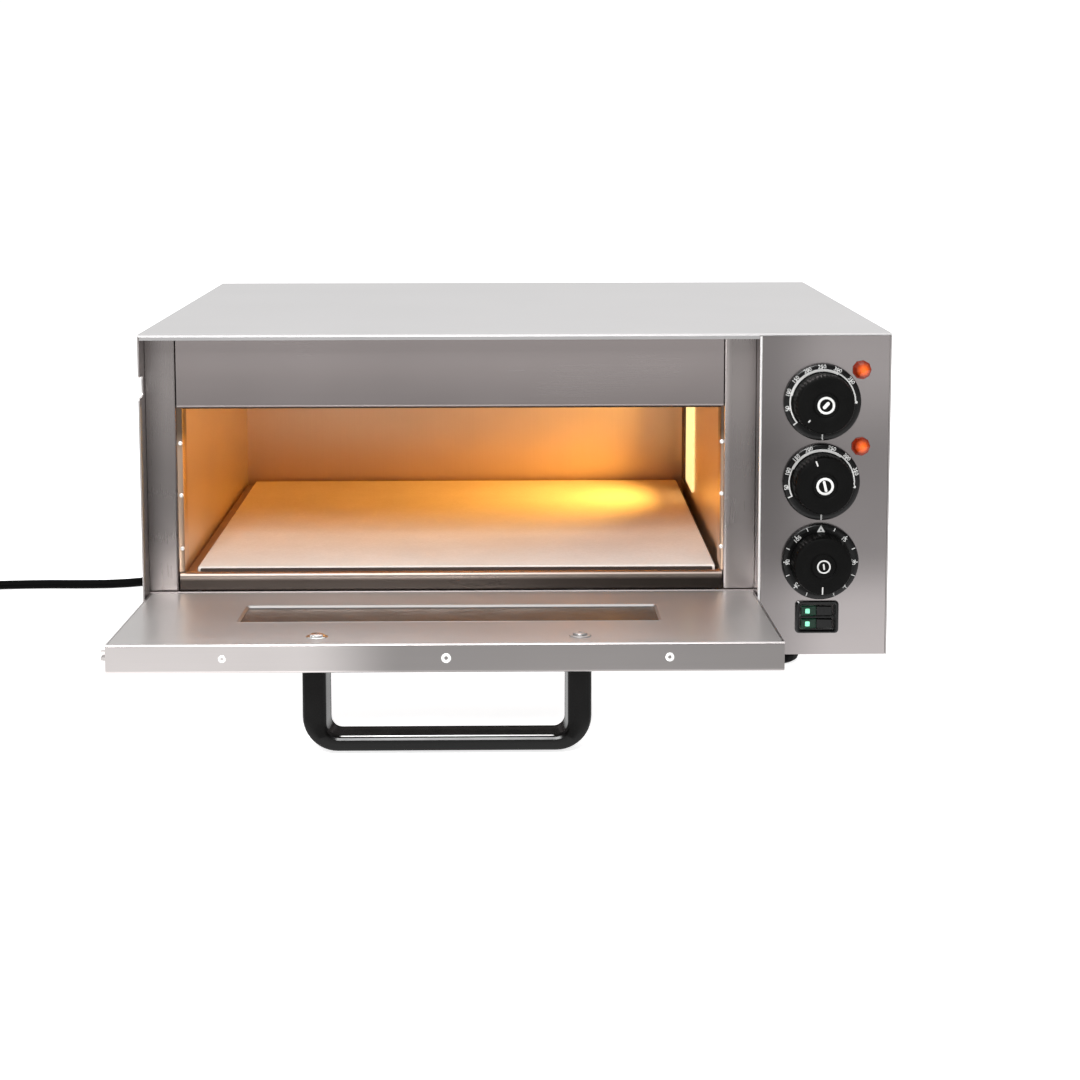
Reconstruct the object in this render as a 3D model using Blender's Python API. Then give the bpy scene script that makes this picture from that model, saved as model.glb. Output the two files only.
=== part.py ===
"""Countertop single-deck oven: stainless body, drop-down door, stone deck, control panel.

Metres, +Z up, the front faces -Y. The origin is on the table, under the middle of the
footprint that the oven has with its door open.
"""
import math

import bmesh
import bpy
from mathutils import Vector

MM = 0.001
GAP = 0.3                       # clearance kept between neighbouring solids

# Body, in millimetres
WIDTH = 560.0
DEPTH = 490.0
TOP = 271.0
FOOT_H = 27.0
SHEET = 1.2
FRONT = -159.0                  # Y of the control panel's face, the oven's foremost sheet
RECESS = 24.0                   # depth of the door recess behind that face
HALF = WIDTH / 2
INNER_TOP = TOP - SHEET - 2 * GAP

# Chamber and its mouth; depths are counted back from the control panel's face
MOUTH_LEFT = -256.0
MOUTH_RIGHT = 158.0
MOUTH_LOW = 86.4
MOUTH_HIGH = 213.0
CAVITY_LEFT = -252.0
CAVITY_RIGHT = 159.5
CAVITY_BACK = 432.0
CAVITY_FLOOR = 73.9
CAVITY_ROOF = 229.0
PANEL_LEFT = 182.0              # left edge of the control panel, the right end of the recess

# Stone
STONE_X = (-243.5, 153.2)
STONE_Y = (34.0, 422.0)
STONE_Z = (74.2, 89.2)

# Door, built shut around its hinge axis, then swung down
HINGE_DEPTH = 10.0
HINGE_Z = 63.0
DOOR_OPEN = 88.0                # degrees between shut and the open stop
DOOR_LEFT = -277.0
DOOR_RIGHT = 180.6
DOOR_HALF = 10.0                # half of the door's thickness
DOOR_HEEL = -9.5                # the door's edge below the axis
DOOR_FREE = 182.0               # the door's free edge above the axis
WINDOW_X = (-198.0, 103.0)
WINDOW_S = (46.0, 107.0)
HANDLE_MID = -47.3
HANDLE_WIDTH = 200.0
HANDLE_REACH = 56.5
HANDLE_S = 159.0
SCREW_SPAN = 178.5
CATCH_S = 168.0

# Controls on the panel
KNOB_X = 228.5
KNOB_Z = (219.7, 159.4, 98.8)
DIAL_R = 28.8
CAP_R = 22.5
LAMP_X = 257.8
LAMP_Z = (243.6, 186.0)
SWITCH_X = 226.8
SWITCH_Z = 56.0
ROCKER_TILT = 7.0               # degrees either side of level

# Mains cord
CORD_D = 8.4
CORD_EXIT = (-200.0, 60.0)
COIL_AT = (-522.0, 306.0)
COIL_OUTER = 52.0
COIL_INNER = 34.6
PLUG_AT = (-569.8, 276.3)


def clear_scene():
    for thing in list(bpy.data.objects):
        bpy.data.objects.remove(thing, do_unlink=True)


def finish(name, color, rough, metal):
    """A plain material for one piece."""
    made = bpy.data.materials.new(name)
    made.use_nodes = True
    shader = made.node_tree.nodes["Principled BSDF"]
    shader.inputs["Base Color"].default_value = (*color, 1.0)
    shader.inputs["Roughness"].default_value = rough
    shader.inputs["Metallic"].default_value = metal
    return made


def steel():
    return finish("steel", (0.56, 0.54, 0.53), 0.34, 1.0)


def black_plastic():
    return finish("black_plastic", (0.02, 0.02, 0.02), 0.35, 0.0)


def wool():
    return finish("wool", (0.75, 0.72, 0.62), 0.9, 0.0)


def add_piece(name, mesh, material):
    piece = bpy.data.objects.new(name, mesh)
    bpy.context.scene.collection.objects.link(piece)
    mesh.materials.append(material)
    return piece


def place(axis, along, u, v):
    """A point from its distance along an axis and its two coordinates across it."""
    if axis == "X":
        return Vector((along, u, v)) * MM
    if axis == "Y":
        return Vector((u, along, v)) * MM
    return Vector((u, v, along)) * MM


def from_bmesh(name, shape, material, smooth=0.0):
    bmesh.ops.recalc_face_normals(shape, faces=shape.faces)
    mesh = bpy.data.meshes.new(name)
    shape.to_mesh(mesh)
    shape.free()
    if smooth:
        mesh.shade_smooth()
        mesh.set_sharp_from_angle(angle=math.radians(smooth))
    return add_piece(name, mesh, material)


def prism(name, outline, axis, low, high, material, smooth=0.0):
    """An outline across one axis, extruded from low to high along it."""
    shape = bmesh.new()
    ring = [shape.verts.new(place(axis, low, u, v)) for u, v in outline]
    face = shape.faces.new(ring)
    grown = bmesh.ops.extrude_face_region(shape, geom=[face])
    moved = [g for g in grown["geom"] if isinstance(g, bmesh.types.BMVert)]
    bmesh.ops.translate(shape, verts=moved, vec=place(axis, high - low, 0.0, 0.0))
    return from_bmesh(name, shape, material, smooth)


def block(name, x, y, z, material, bevel=0.0, segments=2):
    """A box between two limits on each axis, with its edges rounded if asked."""
    outline = [(x[0], y[0]), (x[1], y[0]), (x[1], y[1]), (x[0], y[1])]
    piece = prism(name, outline, "Z", z[0], z[1], material)
    if bevel:
        soften(piece, bevel, segments)
    return piece


def soften(piece, width, segments=2, angle=35.0):
    rounding = piece.modifiers.new("rounding", "BEVEL")
    rounding.width = width * MM
    rounding.segments = segments
    rounding.limit_method = "ANGLE"
    rounding.angle_limit = math.radians(angle)


def rod(name, axis, centre, radius, low, high, material, sides=24):
    outline = []
    for step in range(sides):
        turn = math.tau * step / sides
        outline.append((centre[0] + radius * math.cos(turn), centre[1] + radius * math.sin(turn)))
    return prism(name, outline, axis, low, high, material, smooth=40.0)


def turned(name, profile, axis, centre, material, sides=28, closed=False):
    """A profile of (radius, distance along the axis) points spun about an axis."""
    shape = bmesh.new()
    rings = []
    for radius, along in profile:
        if radius < 1e-6:
            rings.append([shape.verts.new(place(axis, along, *centre))])
            continue
        ring = []
        for step in range(sides):
            turn = math.tau * step / sides
            across = (centre[0] + radius * math.cos(turn), centre[1] + radius * math.sin(turn))
            ring.append(shape.verts.new(place(axis, along, *across)))
        rings.append(ring)
    pairs = list(zip(rings, rings[1:]))
    if closed:
        pairs.append((rings[-1], rings[0]))
    for first, second in pairs:
        for step in range(sides):
            after = (step + 1) % sides
            corners = [first[step % len(first)], first[after % len(first)]]
            corners += [second[after % len(second)], second[step % len(second)]]
            shape.faces.new(list(dict.fromkeys(corners)))
    return from_bmesh(name, shape, material, smooth=40.0)


def cut(piece, cutter, kind="DIFFERENCE"):
    """Take a cutter out of a piece, or join it on, and put the cutter out of sight."""
    cutter.hide_render = True
    cutter.display_type = "WIRE"
    made = piece.modifiers.new(cutter.name, "BOOLEAN")
    made.operation = kind
    made.solver = "EXACT"
    made.object = cutter


def drill(piece, axis, centre, radius, low, high, sides=20):
    label = f"{piece.name}_hole_{len(piece.modifiers)}"
    cut(piece, rod(label, axis, centre, radius, low, high, cutter_material(), sides))


def pocket(piece, x, y, z, bevel=0.0):
    label = f"{piece.name}_pocket_{len(piece.modifiers)}"
    cut(piece, block(label, x, y, z, cutter_material(), bevel))


def join(piece, other):
    cut(piece, other, "UNION")


def cutter_material():
    return bpy.data.materials.get("cutter") or finish("cutter", (1.0, 0.0, 1.0), 0.5, 0.0)


def rounded(points, radii, steps=5):
    """A closed outline whose corners are arcs; a radius of 0 leaves a corner sharp."""
    outline = []
    count = len(points)
    for place_in in range(count):
        here = Vector(points[place_in])
        radius = radii[place_in]
        if radius <= 0:
            outline.append(tuple(here))
            continue
        to_back = (Vector(points[place_in - 1]) - here).normalized()
        to_next = (Vector(points[(place_in + 1) % count]) - here).normalized()
        half = to_back.angle(to_next) / 2
        reach = radius / math.tan(half)
        hub = here + (to_back + to_next).normalized() * (radius / math.sin(half))
        start = here + to_back * reach - hub
        sweep = math.pi - 2 * half
        if to_back.x * to_next.y - to_back.y * to_next.x > 0:
            sweep = -sweep
        for step in range(steps + 1):
            turn = sweep * step / steps
            cosine, sine = math.cos(turn), math.sin(turn)
            outline.append((hub.x + start.x * cosine - start.y * sine,
                            hub.y + start.x * sine + start.y * cosine))
    return outline


def folded(path, thick, bend, steps=4):
    """The outline of a bent sheet: path is its outer line and the sheet lies on its left."""
    inner = []
    count = len(path)
    for index in range(count):
        here = Vector(path[index])
        ways = []
        if index > 0:
            ways.append((here - Vector(path[index - 1])).normalized())
        if index < count - 1:
            ways.append((Vector(path[index + 1]) - here).normalized())
        normals = [Vector((-way.y, way.x)) for way in ways]
        middle = sum(normals, Vector((0.0, 0.0))).normalized()
        inner.append(tuple(here + middle * (thick / middle.dot(normals[0]))))
    radii = [0.0] * (2 * count)
    for index in range(1, count - 1):
        before = Vector(path[index]) - Vector(path[index - 1])
        after = Vector(path[index + 1]) - Vector(path[index])
        left_turn = before.x * after.y - before.y * after.x > 0
        radii[index] = bend + thick if left_turn else bend
        radii[2 * count - 1 - index] = bend if left_turn else bend + thick
    return rounded(path + inner[::-1], radii, steps)


def back(depth):
    """Y of a point this far behind the control panel's face."""
    return FRONT + depth


# ------------------------------------------------------------------ outer sheets

def make_top_cover():
    lip = [(back(0.0), TOP - 4.2), (back(0.0), TOP), (back(DEPTH), TOP)]
    outline = folded([lip[2], lip[1], lip[0]], SHEET, 0.6)
    cover = prism("top_cover", outline, "X", -HALF, HALF, steel(), smooth=30.0)
    pocket(cover, (PANEL_LEFT - 0.4, HALF + 5), (back(-5), back(1.6)), (TOP - 12, TOP - SHEET - 0.4))
    pocket(cover, (-HALF - 5, -HALF + 1.6), (back(-5), back(1.6)), (TOP - 12, TOP - SHEET - 0.4))


def make_side_panels():
    high = INNER_TOP
    low = FOOT_H
    notch_low = HINGE_Z + CATCH_S - 7.6
    notch_high = HINGE_Z + CATCH_S + 8.0
    left = [(back(0), low), (back(0), notch_low), (back(15), notch_low), (back(15), notch_high),
            (back(0), notch_high), (back(0), high), (back(DEPTH), high), (back(DEPTH), low)]
    radii = [0, 1.5, 3, 3, 1.5, 0, 0, 0]
    panel = prism("left_side_panel", rounded(left, radii), "X", -HALF, -HALF + SHEET, steel())
    drill(panel, "X", (back(HINGE_DEPTH), HINGE_Z), 2.8, -HALF - 5, -HALF + 5)
    panel = block("right_side_panel", (HALF - SHEET, HALF), (back(0), back(DEPTH)), (low, high), steel())
    for row in range(2):
        for slot in range(9):
            depth = 300 + 16 * slot
            floor = 70 + 70 * row
            pocket(panel, (HALF - 6, HALF + 4), (back(depth), back(depth + 5)), (floor, floor + 48))


def make_back_panel():
    inside = HALF - SHEET - GAP
    deep = (back(DEPTH - SHEET), back(DEPTH))
    panel = block("back_panel", (-inside, inside), deep, (FOOT_H + 0.3, INNER_TOP), steel())
    drill(panel, "Y", CORD_EXIT, 8.3, back(DEPTH - 8), back(DEPTH + 8))
    for slot in range(7):
        side = 196 + 11 * slot
        pocket(panel, (side, side + 5), (back(DEPTH - 8), back(DEPTH + 8)), (150, 210))


def make_base_pan():
    inside = HALF - SHEET - GAP
    deep = (back(SHEET + GAP), back(DEPTH - SHEET - GAP))
    pan = block("base_pan", (-inside, inside), deep, (FOOT_H, FOOT_H + SHEET), steel())
    under = (FOOT_H - 5, FOOT_H + 5)
    pocket(pan, (-HALF - 5, PANEL_LEFT + SHEET + GAP), (back(-5), back(RECESS + SHEET + GAP)), under)
    pocket(pan, (PANEL_LEFT - GAP, PANEL_LEFT + SHEET + GAP), (back(RECESS), back(RECESS + 10 + GAP)), under)
    for x in (-205, 205):
        for depth in (92, 430):
            drill(pan, "Z", (x, back(depth)), 3.3, FOOT_H - 5, FOOT_H + 5)


def make_front_frame():
    """Pillars, fascia, sill and lower rail, all on the plane at the back of the recess."""
    inner_left = -HALF + SHEET + GAP
    high = INNER_TOP
    face = back(RECESS)
    flange = back(RECESS + 7)
    path = [(inner_left, face), (MOUTH_LEFT, face), (MOUTH_LEFT, flange)]
    prism("left_pillar", folded(path, SHEET, 0.8), "Z", 73.0, high, steel(), smooth=30.0)
    path = [(MOUTH_RIGHT, flange), (MOUTH_RIGHT, face), (PANEL_LEFT - GAP, face)]
    prism("right_pillar", folded(path, SHEET, 0.8), "Z", 73.0, high, steel(), smooth=30.0)
    between = (MOUTH_LEFT + GAP + 0.3, MOUTH_RIGHT - GAP - 0.3)
    path = [(face, high), (face, MOUTH_HIGH), (flange, MOUTH_HIGH)]
    prism("fascia_panel", folded(path, SHEET, 0.8), "X", between[0], between[1], steel(), smooth=30.0)
    path = [(flange, MOUTH_LOW), (face, MOUTH_LOW), (face, 73.0)]
    prism("door_sill", folded(path, SHEET, 2.2), "X", between[0], between[1], steel(), smooth=30.0)
    path = [(back(RECESS + 12), 72.4), (face, 72.4), (face, FOOT_H), (back(RECESS + 12), FOOT_H)]
    rail = prism("lower_front_rail", folded(path[:3], SHEET, 1.0), "X", inner_left,
                 PANEL_LEFT - GAP, steel(), smooth=30.0)
    return rail


def make_control_panel():
    """The panel with its left edge turned back, its shaft holes and its switch opening."""
    path = [(PANEL_LEFT, back(RECESS + 10)), (PANEL_LEFT, back(0)), (HALF - SHEET - GAP, back(0))]
    panel = prism("control_panel", folded(path, SHEET, 1.0, 6), "Z", FOOT_H, INNER_TOP,
                  steel(), smooth=30.0)
    for height in KNOB_Z:
        drill(panel, "Y", (KNOB_X, height), 4.5, back(-6), back(6))
    for height in LAMP_Z:
        drill(panel, "Y", (LAMP_X, height), 5.8, back(-6), back(6))
    pocket(panel, (SWITCH_X - 14.5, SWITCH_X + 14.5), (back(-6), back(6)), (SWITCH_Z - 10.6, SWITCH_Z + 10.6))
    drill(panel, "X", (back(HINGE_DEPTH), HINGE_Z), 2.8, PANEL_LEFT - 3, PANEL_LEFT + 4)
    wall = (PANEL_LEFT + SHEET + GAP + 0.2, PANEL_LEFT + 2 * SHEET + GAP + 0.2)
    divider = block("control_bay_wall", wall, (back(RECESS), back(DEPTH - SHEET - GAP)),
                    (FOOT_H + SHEET + GAP, INNER_TOP), steel())
    for depth in ROOF_RODS:
        drill(divider, "X", (back(depth), UPPER_HEATER_Z), 5.0, 170, 200)
    for depth in HEATER_ENDS:
        drill(divider, "X", (back(depth), LOWER_HEATER_Z), 5.0, 170, 200)


# ------------------------------------------------------------------ chamber

HEATER_ENDS = (90.0, 366.0)
ROOF_RODS = (130.0, 326.0)
UPPER_HEATER_Z = 219.0
LOWER_HEATER_Z = 65.0
HEATER_R = 4.0
OVEN_LAMP = (344.0, 144.0)       # depth and height of the middle of the lamp in the right wall
COVER_WIDE, COVER_TALL = 96.0, 92.0
TRAY_WIDE, TRAY_TALL = 86.0, 82.0


def lamp_span(room):
    """Y and Z ranges of the lamp's tray in the wall, with this much room on each side."""
    depth, height = OVEN_LAMP
    wide, tall = TRAY_WIDE / 2 + room, TRAY_TALL / 2 + room
    return (back(depth) - wide, back(depth) + wide), (height - tall, height + tall)


def make_chamber_liner():
    skin = 1.0
    front = back(RECESS + 7.4)
    dull = finish("chamber_steel", (0.55, 0.45, 0.36), 0.42, 1.0)
    liner = block("chamber_liner", (CAVITY_LEFT - skin, CAVITY_RIGHT + skin),
                  (front, back(CAVITY_BACK) + skin), (CAVITY_FLOOR - skin, CAVITY_ROOF + skin), dull)
    pocket(liner, (CAVITY_LEFT, CAVITY_RIGHT), (front - 9, back(CAVITY_BACK)), (CAVITY_FLOOR, CAVITY_ROOF))
    for depth in ROOF_RODS:
        for wall in (CAVITY_LEFT, CAVITY_RIGHT):
            drill(liner, "X", (back(depth), UPPER_HEATER_Z), 4.6, wall - 6, wall + 6)
    pocket(liner, (CAVITY_RIGHT - 6, CAVITY_RIGHT + 6), *lamp_span(GAP))


def make_stone():
    clay = finish("clay", (0.86, 0.74, 0.62), 0.85, 0.0)
    stone = block("baking_stone", STONE_X, (back(STONE_Y[0]), back(STONE_Y[1])), STONE_Z, clay)
    soften(stone, 1.5, 2)


def heater_route(height):
    """A rod with two long runs along the chamber and its ends out through the right wall."""
    left = CAVITY_LEFT + 34
    right = PANEL_LEFT + 16
    corners = [(right, HEATER_ENDS[0]), (left, HEATER_ENDS[0]), (left, 181), (110, 181),
               (110, 275), (left, 275), (left, HEATER_ENDS[1]), (right, HEATER_ENDS[1])]
    points = [corners[0]]
    bend = 22.0
    for before, here, after in zip(corners, corners[1:], corners[2:]):
        here_v = Vector(here)
        back_way = (Vector(before) - here_v).normalized()
        next_way = (Vector(after) - here_v).normalized()
        hub = here_v + (back_way + next_way) * bend
        for step in range(5):
            turn = math.pi / 2 * step / 4
            spot = hub - next_way * bend * math.cos(turn) - back_way * bend * math.sin(turn)
            points.append((spot.x, spot.y))
    points.append(corners[-1])
    return [Vector((x, back(depth), height)) * MM for x, depth in points]


def tube(name, points, radius, material, roundness=2):
    line = bpy.data.curves.new(name, "CURVE")
    line.dimensions = "3D"
    line.bevel_depth = radius * MM
    line.bevel_resolution = roundness
    line.use_fill_caps = True
    run = line.splines.new("POLY")
    run.points.add(len(points) - 1)
    for spot, point in zip(run.points, points):
        spot.co = (*point, 1.0)
    piece = bpy.data.objects.new(name, line)
    bpy.context.scene.collection.objects.link(piece)
    line.materials.append(material)
    return piece


def make_heaters():
    sheath = finish("heater_sheath", (0.20, 0.17, 0.15), 0.5, 1.0)
    for name, depth in zip(("upper_heater_front", "upper_heater_rear"), ROOF_RODS):
        rod(name, "X", (back(depth), UPPER_HEATER_Z), HEATER_R, CAVITY_LEFT - 14, PANEL_LEFT + 16, sheath, 16)
    tube("lower_heater", heater_route(LOWER_HEATER_Z), HEATER_R, sheath)


def make_oven_lamp():
    """A tray set into the right wall with a tubular bulb, behind a flat glass cover."""
    depth, height = OVEN_LAMP
    wall = CAVITY_RIGHT
    ceramic = finish("ceramic", (0.85, 0.83, 0.78), 0.5, 0.0)
    tray = block("lamp_holder", (wall, wall + 20.5), *lamp_span(0.0), ceramic)
    pocket(tray, (wall - 5, wall + 17.5), *lamp_span(-2.0))
    glow = finish("lamp_envelope", (1.0, 0.86, 0.55), 0.2, 0.0)
    half = TRAY_WIDE / 2 - 3.0
    bulb = [(0.0, back(depth) + half), (3.2, back(depth) + half - 1.2), (5.0, back(depth) + half - 5),
            (5.0, back(depth) - half + 5), (3.2, back(depth) - half + 1.2), (0.0, back(depth) - half)]
    turned("lamp_bulb", bulb, "Y", (wall + 9.5, height), glow, 24)
    clear = finish("lamp_cover_glass", (1.0, 0.93, 0.78), 0.08, 0.0)
    wide, tall = COVER_WIDE / 2, COVER_TALL / 2
    corners = [(back(depth) - wide, height - tall), (back(depth) + wide, height - tall),
               (back(depth) + wide, height + tall), (back(depth) - wide, height + tall)]
    cover = prism("lamp_glass", rounded(corners, [7, 7, 7, 7], 5), "X", wall - 1.9, wall - GAP, clear, smooth=30.0)
    soften(cover, 0.5, 2, 60.0)


def make_insulation():
    inner = -HALF + SHEET + GAP
    low = FOOT_H + SHEET + GAP
    high = INNER_TOP
    front = back(RECESS + SHEET + GAP)
    rear = back(DEPTH - SHEET - GAP)
    out = CAVITY_LEFT - 1.0 - GAP
    left = block("insulation_left", (inner, out), (front + 14, rear), (low, high), wool())
    for depth in ROOF_RODS:
        drill(left, "X", (back(depth), UPPER_HEATER_Z), 4.6, CAVITY_LEFT - 15, CAVITY_LEFT + 6)
    right = block("insulation_right", (CAVITY_RIGHT + 1.3, PANEL_LEFT - GAP), (front + 14, back(CAVITY_BACK)),
                  (74.5, high), wool())
    for depth in ROOF_RODS:
        drill(right, "X", (back(depth), UPPER_HEATER_Z), 4.6, CAVITY_RIGHT - 6, PANEL_LEFT + 6)
    pocket(right, (CAVITY_RIGHT - 6, PANEL_LEFT + 6), *lamp_span(1.0))
    across = (out + GAP, CAVITY_RIGHT + 1.0)
    block("insulation_top", across, (front + 14, back(CAVITY_BACK)), (CAVITY_ROOF + 1.3, high), wool())
    block("insulation_back", across, (back(CAVITY_BACK) + 1.3, rear), (98.0, high), wool())
    block("insulation_bottom", across, (front + 14, back(CAVITY_BACK)), (low, 57.0), wool())


# ------------------------------------------------------------------ controls inside the bay

def make_control_body(name, height, wide, tall, deep):
    """A thermostat or timer body with the shaft that carries its knob."""
    shell = finish("control_body", (0.72, 0.70, 0.66), 0.5, 0.0)
    body = block(name, (KNOB_X - wide / 2, KNOB_X + wide / 2), (back(SHEET + GAP), back(deep)),
                 (height - tall / 2, height + tall / 2), shell)
    join(body, rod(f"{name}_shaft", "Y", (KNOB_X, height), 3.0, back(-13), back(6), cutter_material(), 24))


def make_controls():
    make_control_body("thermostat_upper", KNOB_Z[0], 44, 38, 34)
    make_control_body("thermostat_lower", KNOB_Z[1], 44, 38, 34)
    make_control_body("timer", KNOB_Z[2], 46, 44, 46)
    for number, height in zip(("upper", "middle", "lower"), KNOB_Z):
        ring = [(DIAL_R, back(-GAP)), (DIAL_R, back(-3.2)), (DIAL_R - 1.0, back(-4.2)),
                (12.0, back(-4.2)), (12.0, back(-GAP))]
        turned(f"dial_ring_{number}", ring, "Y", (KNOB_X, height), black_plastic(), 32, closed=True)
    lens_colour = finish("lens", (0.9, 0.25, 0.03), 0.15, 0.0)
    for number, height in zip(("upper", "lower"), LAMP_Z):
        lens = [(0.0, back(-5.2)), (3.4, back(-5.0)), (6.0, back(-3.4)), (7.25, back(-1.4)),
                (7.25, back(-GAP)), (5.4, back(-GAP)), (5.4, back(17)), (0.0, back(17))]
        turned(f"indicator_lamp_{number}", lens, "Y", (LAMP_X, height), lens_colour, 20)


def make_switch():
    """One housing with two rockers, one above the other, each tipping about an upright pin."""
    wide, tall = 33.0, 24.7
    housing = block("switch_housing", (SWITCH_X - wide / 2, SWITCH_X + wide / 2), (back(-2.4), back(-GAP)),
                    (SWITCH_Z - tall / 2, SWITCH_Z + tall / 2), black_plastic(), 1.0)
    join(housing, block("switch_barrel", (SWITCH_X - 14, SWITCH_X + 14), (back(-1.2), back(22)),
                        (SWITCH_Z - 10.1, SWITCH_Z + 10.1), cutter_material()))
    for middle in (SWITCH_Z + 4.95, SWITCH_Z - 4.95):
        pocket(housing, (SWITCH_X - 12.6, SWITCH_X + 12.6), (back(-6), back(14)), (middle - 4.4, middle + 4.4))


def make_rocker(name, height):
    """A rocker tipped so that its left end is pressed in."""
    pivot = bpy.data.objects.new(f"{name}_pivot", None)
    bpy.context.scene.collection.objects.link(pivot)
    pivot.location = Vector((SWITCH_X, back(ROCKER_PIVOT), height)) * MM
    pivot.rotation_euler = (0.0, 0.0, math.radians(-ROCKER_TILT))
    outline = [(-12.0, -3.7), (-11.3, -4.5), (0.0, -3.3), (11.3, -4.5), (12.0, -3.7), (10.6, 3.2),
               (2.2, 6.0), (-2.2, 6.0), (-10.6, 3.2)]
    rocker = prism(name, outline, "Z", -4.1, 4.1, black_plastic())
    rocker.parent = pivot


ROCKER_PIVOT = 2.6


def make_terminal_block():
    cream = finish("terminal", (0.80, 0.78, 0.70), 0.5, 0.0)
    piece = block("terminal_block", (-216, -184), (back(440), back(462)), (40, 62), cream, 1.0)
    for way in range(3):
        drill(piece, "Z", (-209 + 9 * way, back(451)), 2.2, 52, 70, 16)


# ------------------------------------------------------------------ knobs

def make_knob(name, height, pointer):
    """A round knob cap: skirt, dished face, centre boss and the hollow that takes the shaft."""
    cap = [(0.0, back(-22.0)), (8.6, back(-22.0)), (9.4, back(-21.4)), (9.8, back(-20.0)), (12.0, back(-19.4)),
           (19.6, back(-20.6)), (21.2, back(-20.2)), (22.0, back(-19.0)), (CAP_R, back(-6.0)),
           (CAP_R, back(-4.9)), (19.8, back(-4.9)), (19.8, back(-15.5)), (5.6, back(-15.5)), (5.6, back(-5.6)),
           (3.15, back(-5.6)), (3.15, back(-13.4)), (0.0, back(-13.4))]
    knob = turned(name, cap, "Y", (0.0, 0.0), black_plastic(), 28)
    knob.location = Vector((KNOB_X, 0.0, height)) * MM
    knob.rotation_euler = (0.0, math.radians(pointer), 0.0)


# ------------------------------------------------------------------ door

def hang(piece, axis):
    piece.parent = axis
    return piece


def make_door():
    """Everything on the door is drawn shut: X across, Y through it, Z up from the hinge axis."""
    axis = bpy.data.objects.new("door_axis", None)
    bpy.context.scene.collection.objects.link(axis)
    axis.location = Vector((0.0, back(HINGE_DEPTH), HINGE_Z)) * MM
    axis.rotation_euler = (math.radians(DOOR_OPEN), 0.0, 0.0)

    side = [(-DOOR_HALF, DOOR_HEEL), (DOOR_HALF, DOOR_HEEL), (DOOR_HALF, DOOR_FREE), (-DOOR_HALF, DOOR_FREE)]
    outline = rounded(side, [2.5, 4.5, 1.6, 1.6])
    shell = prism("door_outer_shell", outline, "X", DOOR_LEFT, DOOR_RIGHT, steel(), smooth=30.0)
    skin = 1.2
    pocket(shell, (DOOR_LEFT + skin, DOOR_RIGHT - skin), (-DOOR_HALF + skin, DOOR_HALF + 8),
           (DOOR_HEEL + skin + 3.0, DOOR_FREE - skin))
    pocket(shell, WINDOW_X, (-DOOR_HALF - 6, -DOOR_HALF + 6), WINDOW_S)
    hang(shell, axis)

    inset = skin + GAP
    panel = block("door_inner_panel", (DOOR_LEFT + inset, DOOR_RIGHT - inset), (DOOR_HALF - skin, DOOR_HALF),
                  (DOOR_HEEL + 4.5, DOOR_FREE - inset), steel())
    pocket(panel, WINDOW_X, (0, DOOR_HALF + 6), WINDOW_S)
    hang(panel, axis)

    filling = block("door_insulation", (DOOR_LEFT + inset, DOOR_RIGHT - inset),
                    (-DOOR_HALF + skin + GAP, DOOR_HALF - skin - GAP), (DOOR_HEEL + 4.5, DOOR_FREE - inset), wool())
    pane_x = (WINDOW_X[0] - 7.0, WINDOW_X[1] + 7.0)
    pane_s = (WINDOW_S[0] - 7.0, WINDOW_S[1] + 7.0)
    pocket(filling, (pane_x[0] - GAP, pane_x[1] + GAP), (-DOOR_HALF, DOOR_HALF), (pane_s[0] - GAP, pane_s[1] + GAP))
    hang(filling, axis)
    tinted = finish("door_glass", (0.12, 0.12, 0.12), 0.08, 0.0)
    for name, low in (("door_glass_inner", 4.5), ("door_glass_outer", -8.5)):
        hang(block(name, pane_x, (low, low + 4.0), pane_s, tinted), axis)

    hang(make_handle(), axis)
    legs = (HANDLE_MID - SCREW_SPAN / 2, HANDLE_MID + 1.3 + SCREW_SPAN / 2)
    for number, x in zip(("left", "right"), legs):
        for piece in (shell, panel, filling):
            label = f"{piece.name}_{number}_bore"
            hole = rod(label, "Y", (x, HANDLE_S), 2.6, -DOOR_HALF - 6, DOOR_HALF + 6, cutter_material(), 20)
            cut(piece, hole)
            hang(hole, axis)
        bright = finish("bright_steel", (0.78, 0.76, 0.74), 0.2, 1.0)
        head = [(0.0, DOOR_HALF + 2.6), (2.6, DOOR_HALF + 2.4), (4.6, DOOR_HALF + 1.3), (5.0, DOOR_HALF + GAP),
                (2.1, DOOR_HALF + GAP), (2.1, -DOOR_HALF - 12), (0.0, -DOOR_HALF - 12)]
        hang(turned(f"handle_screw_{number}", head, "Y", (x, HANDLE_S), bright, 20), axis)

    bright = finish("bright_steel", (0.78, 0.76, 0.74), 0.2, 1.0)
    ends = (("left", DOOR_LEFT, -5.0, 11.0), ("right", DOOR_RIGHT, 1.1, -11.0))
    for number, edge, out, inward in ends:
        for piece in (shell, panel, filling):
            for kind, height, radius in (("catch", CATCH_S, 3.3), ("hinge", 0.0, 2.8)):
                label = f"{piece.name}_{number}_{kind}_bore"
                span = sorted((edge - inward * 1.3, edge + inward * 1.3))
                hole = rod(label, "X", (0.0, height), radius, *span, cutter_material(), 20)
                cut(piece, hole)
                hang(hole, axis)
        span = sorted((edge + out, edge + inward))
        pin = rod(f"catch_pin_{number}", "X", (0.0, CATCH_S), 3.0, *span, bright, 20)
        hang(pin, axis)
    hang(rod("hinge_pin_left", "X", (0.0, 0.0), 2.5, -HALF + 0.3, DOOR_LEFT + 12, bright, 20), axis)
    hang(rod("hinge_pin_right", "X", (0.0, 0.0), 2.5, DOOR_RIGHT - 12, PANEL_LEFT + 4.0, bright, 20), axis)
    attach_cutters(axis)


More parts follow.
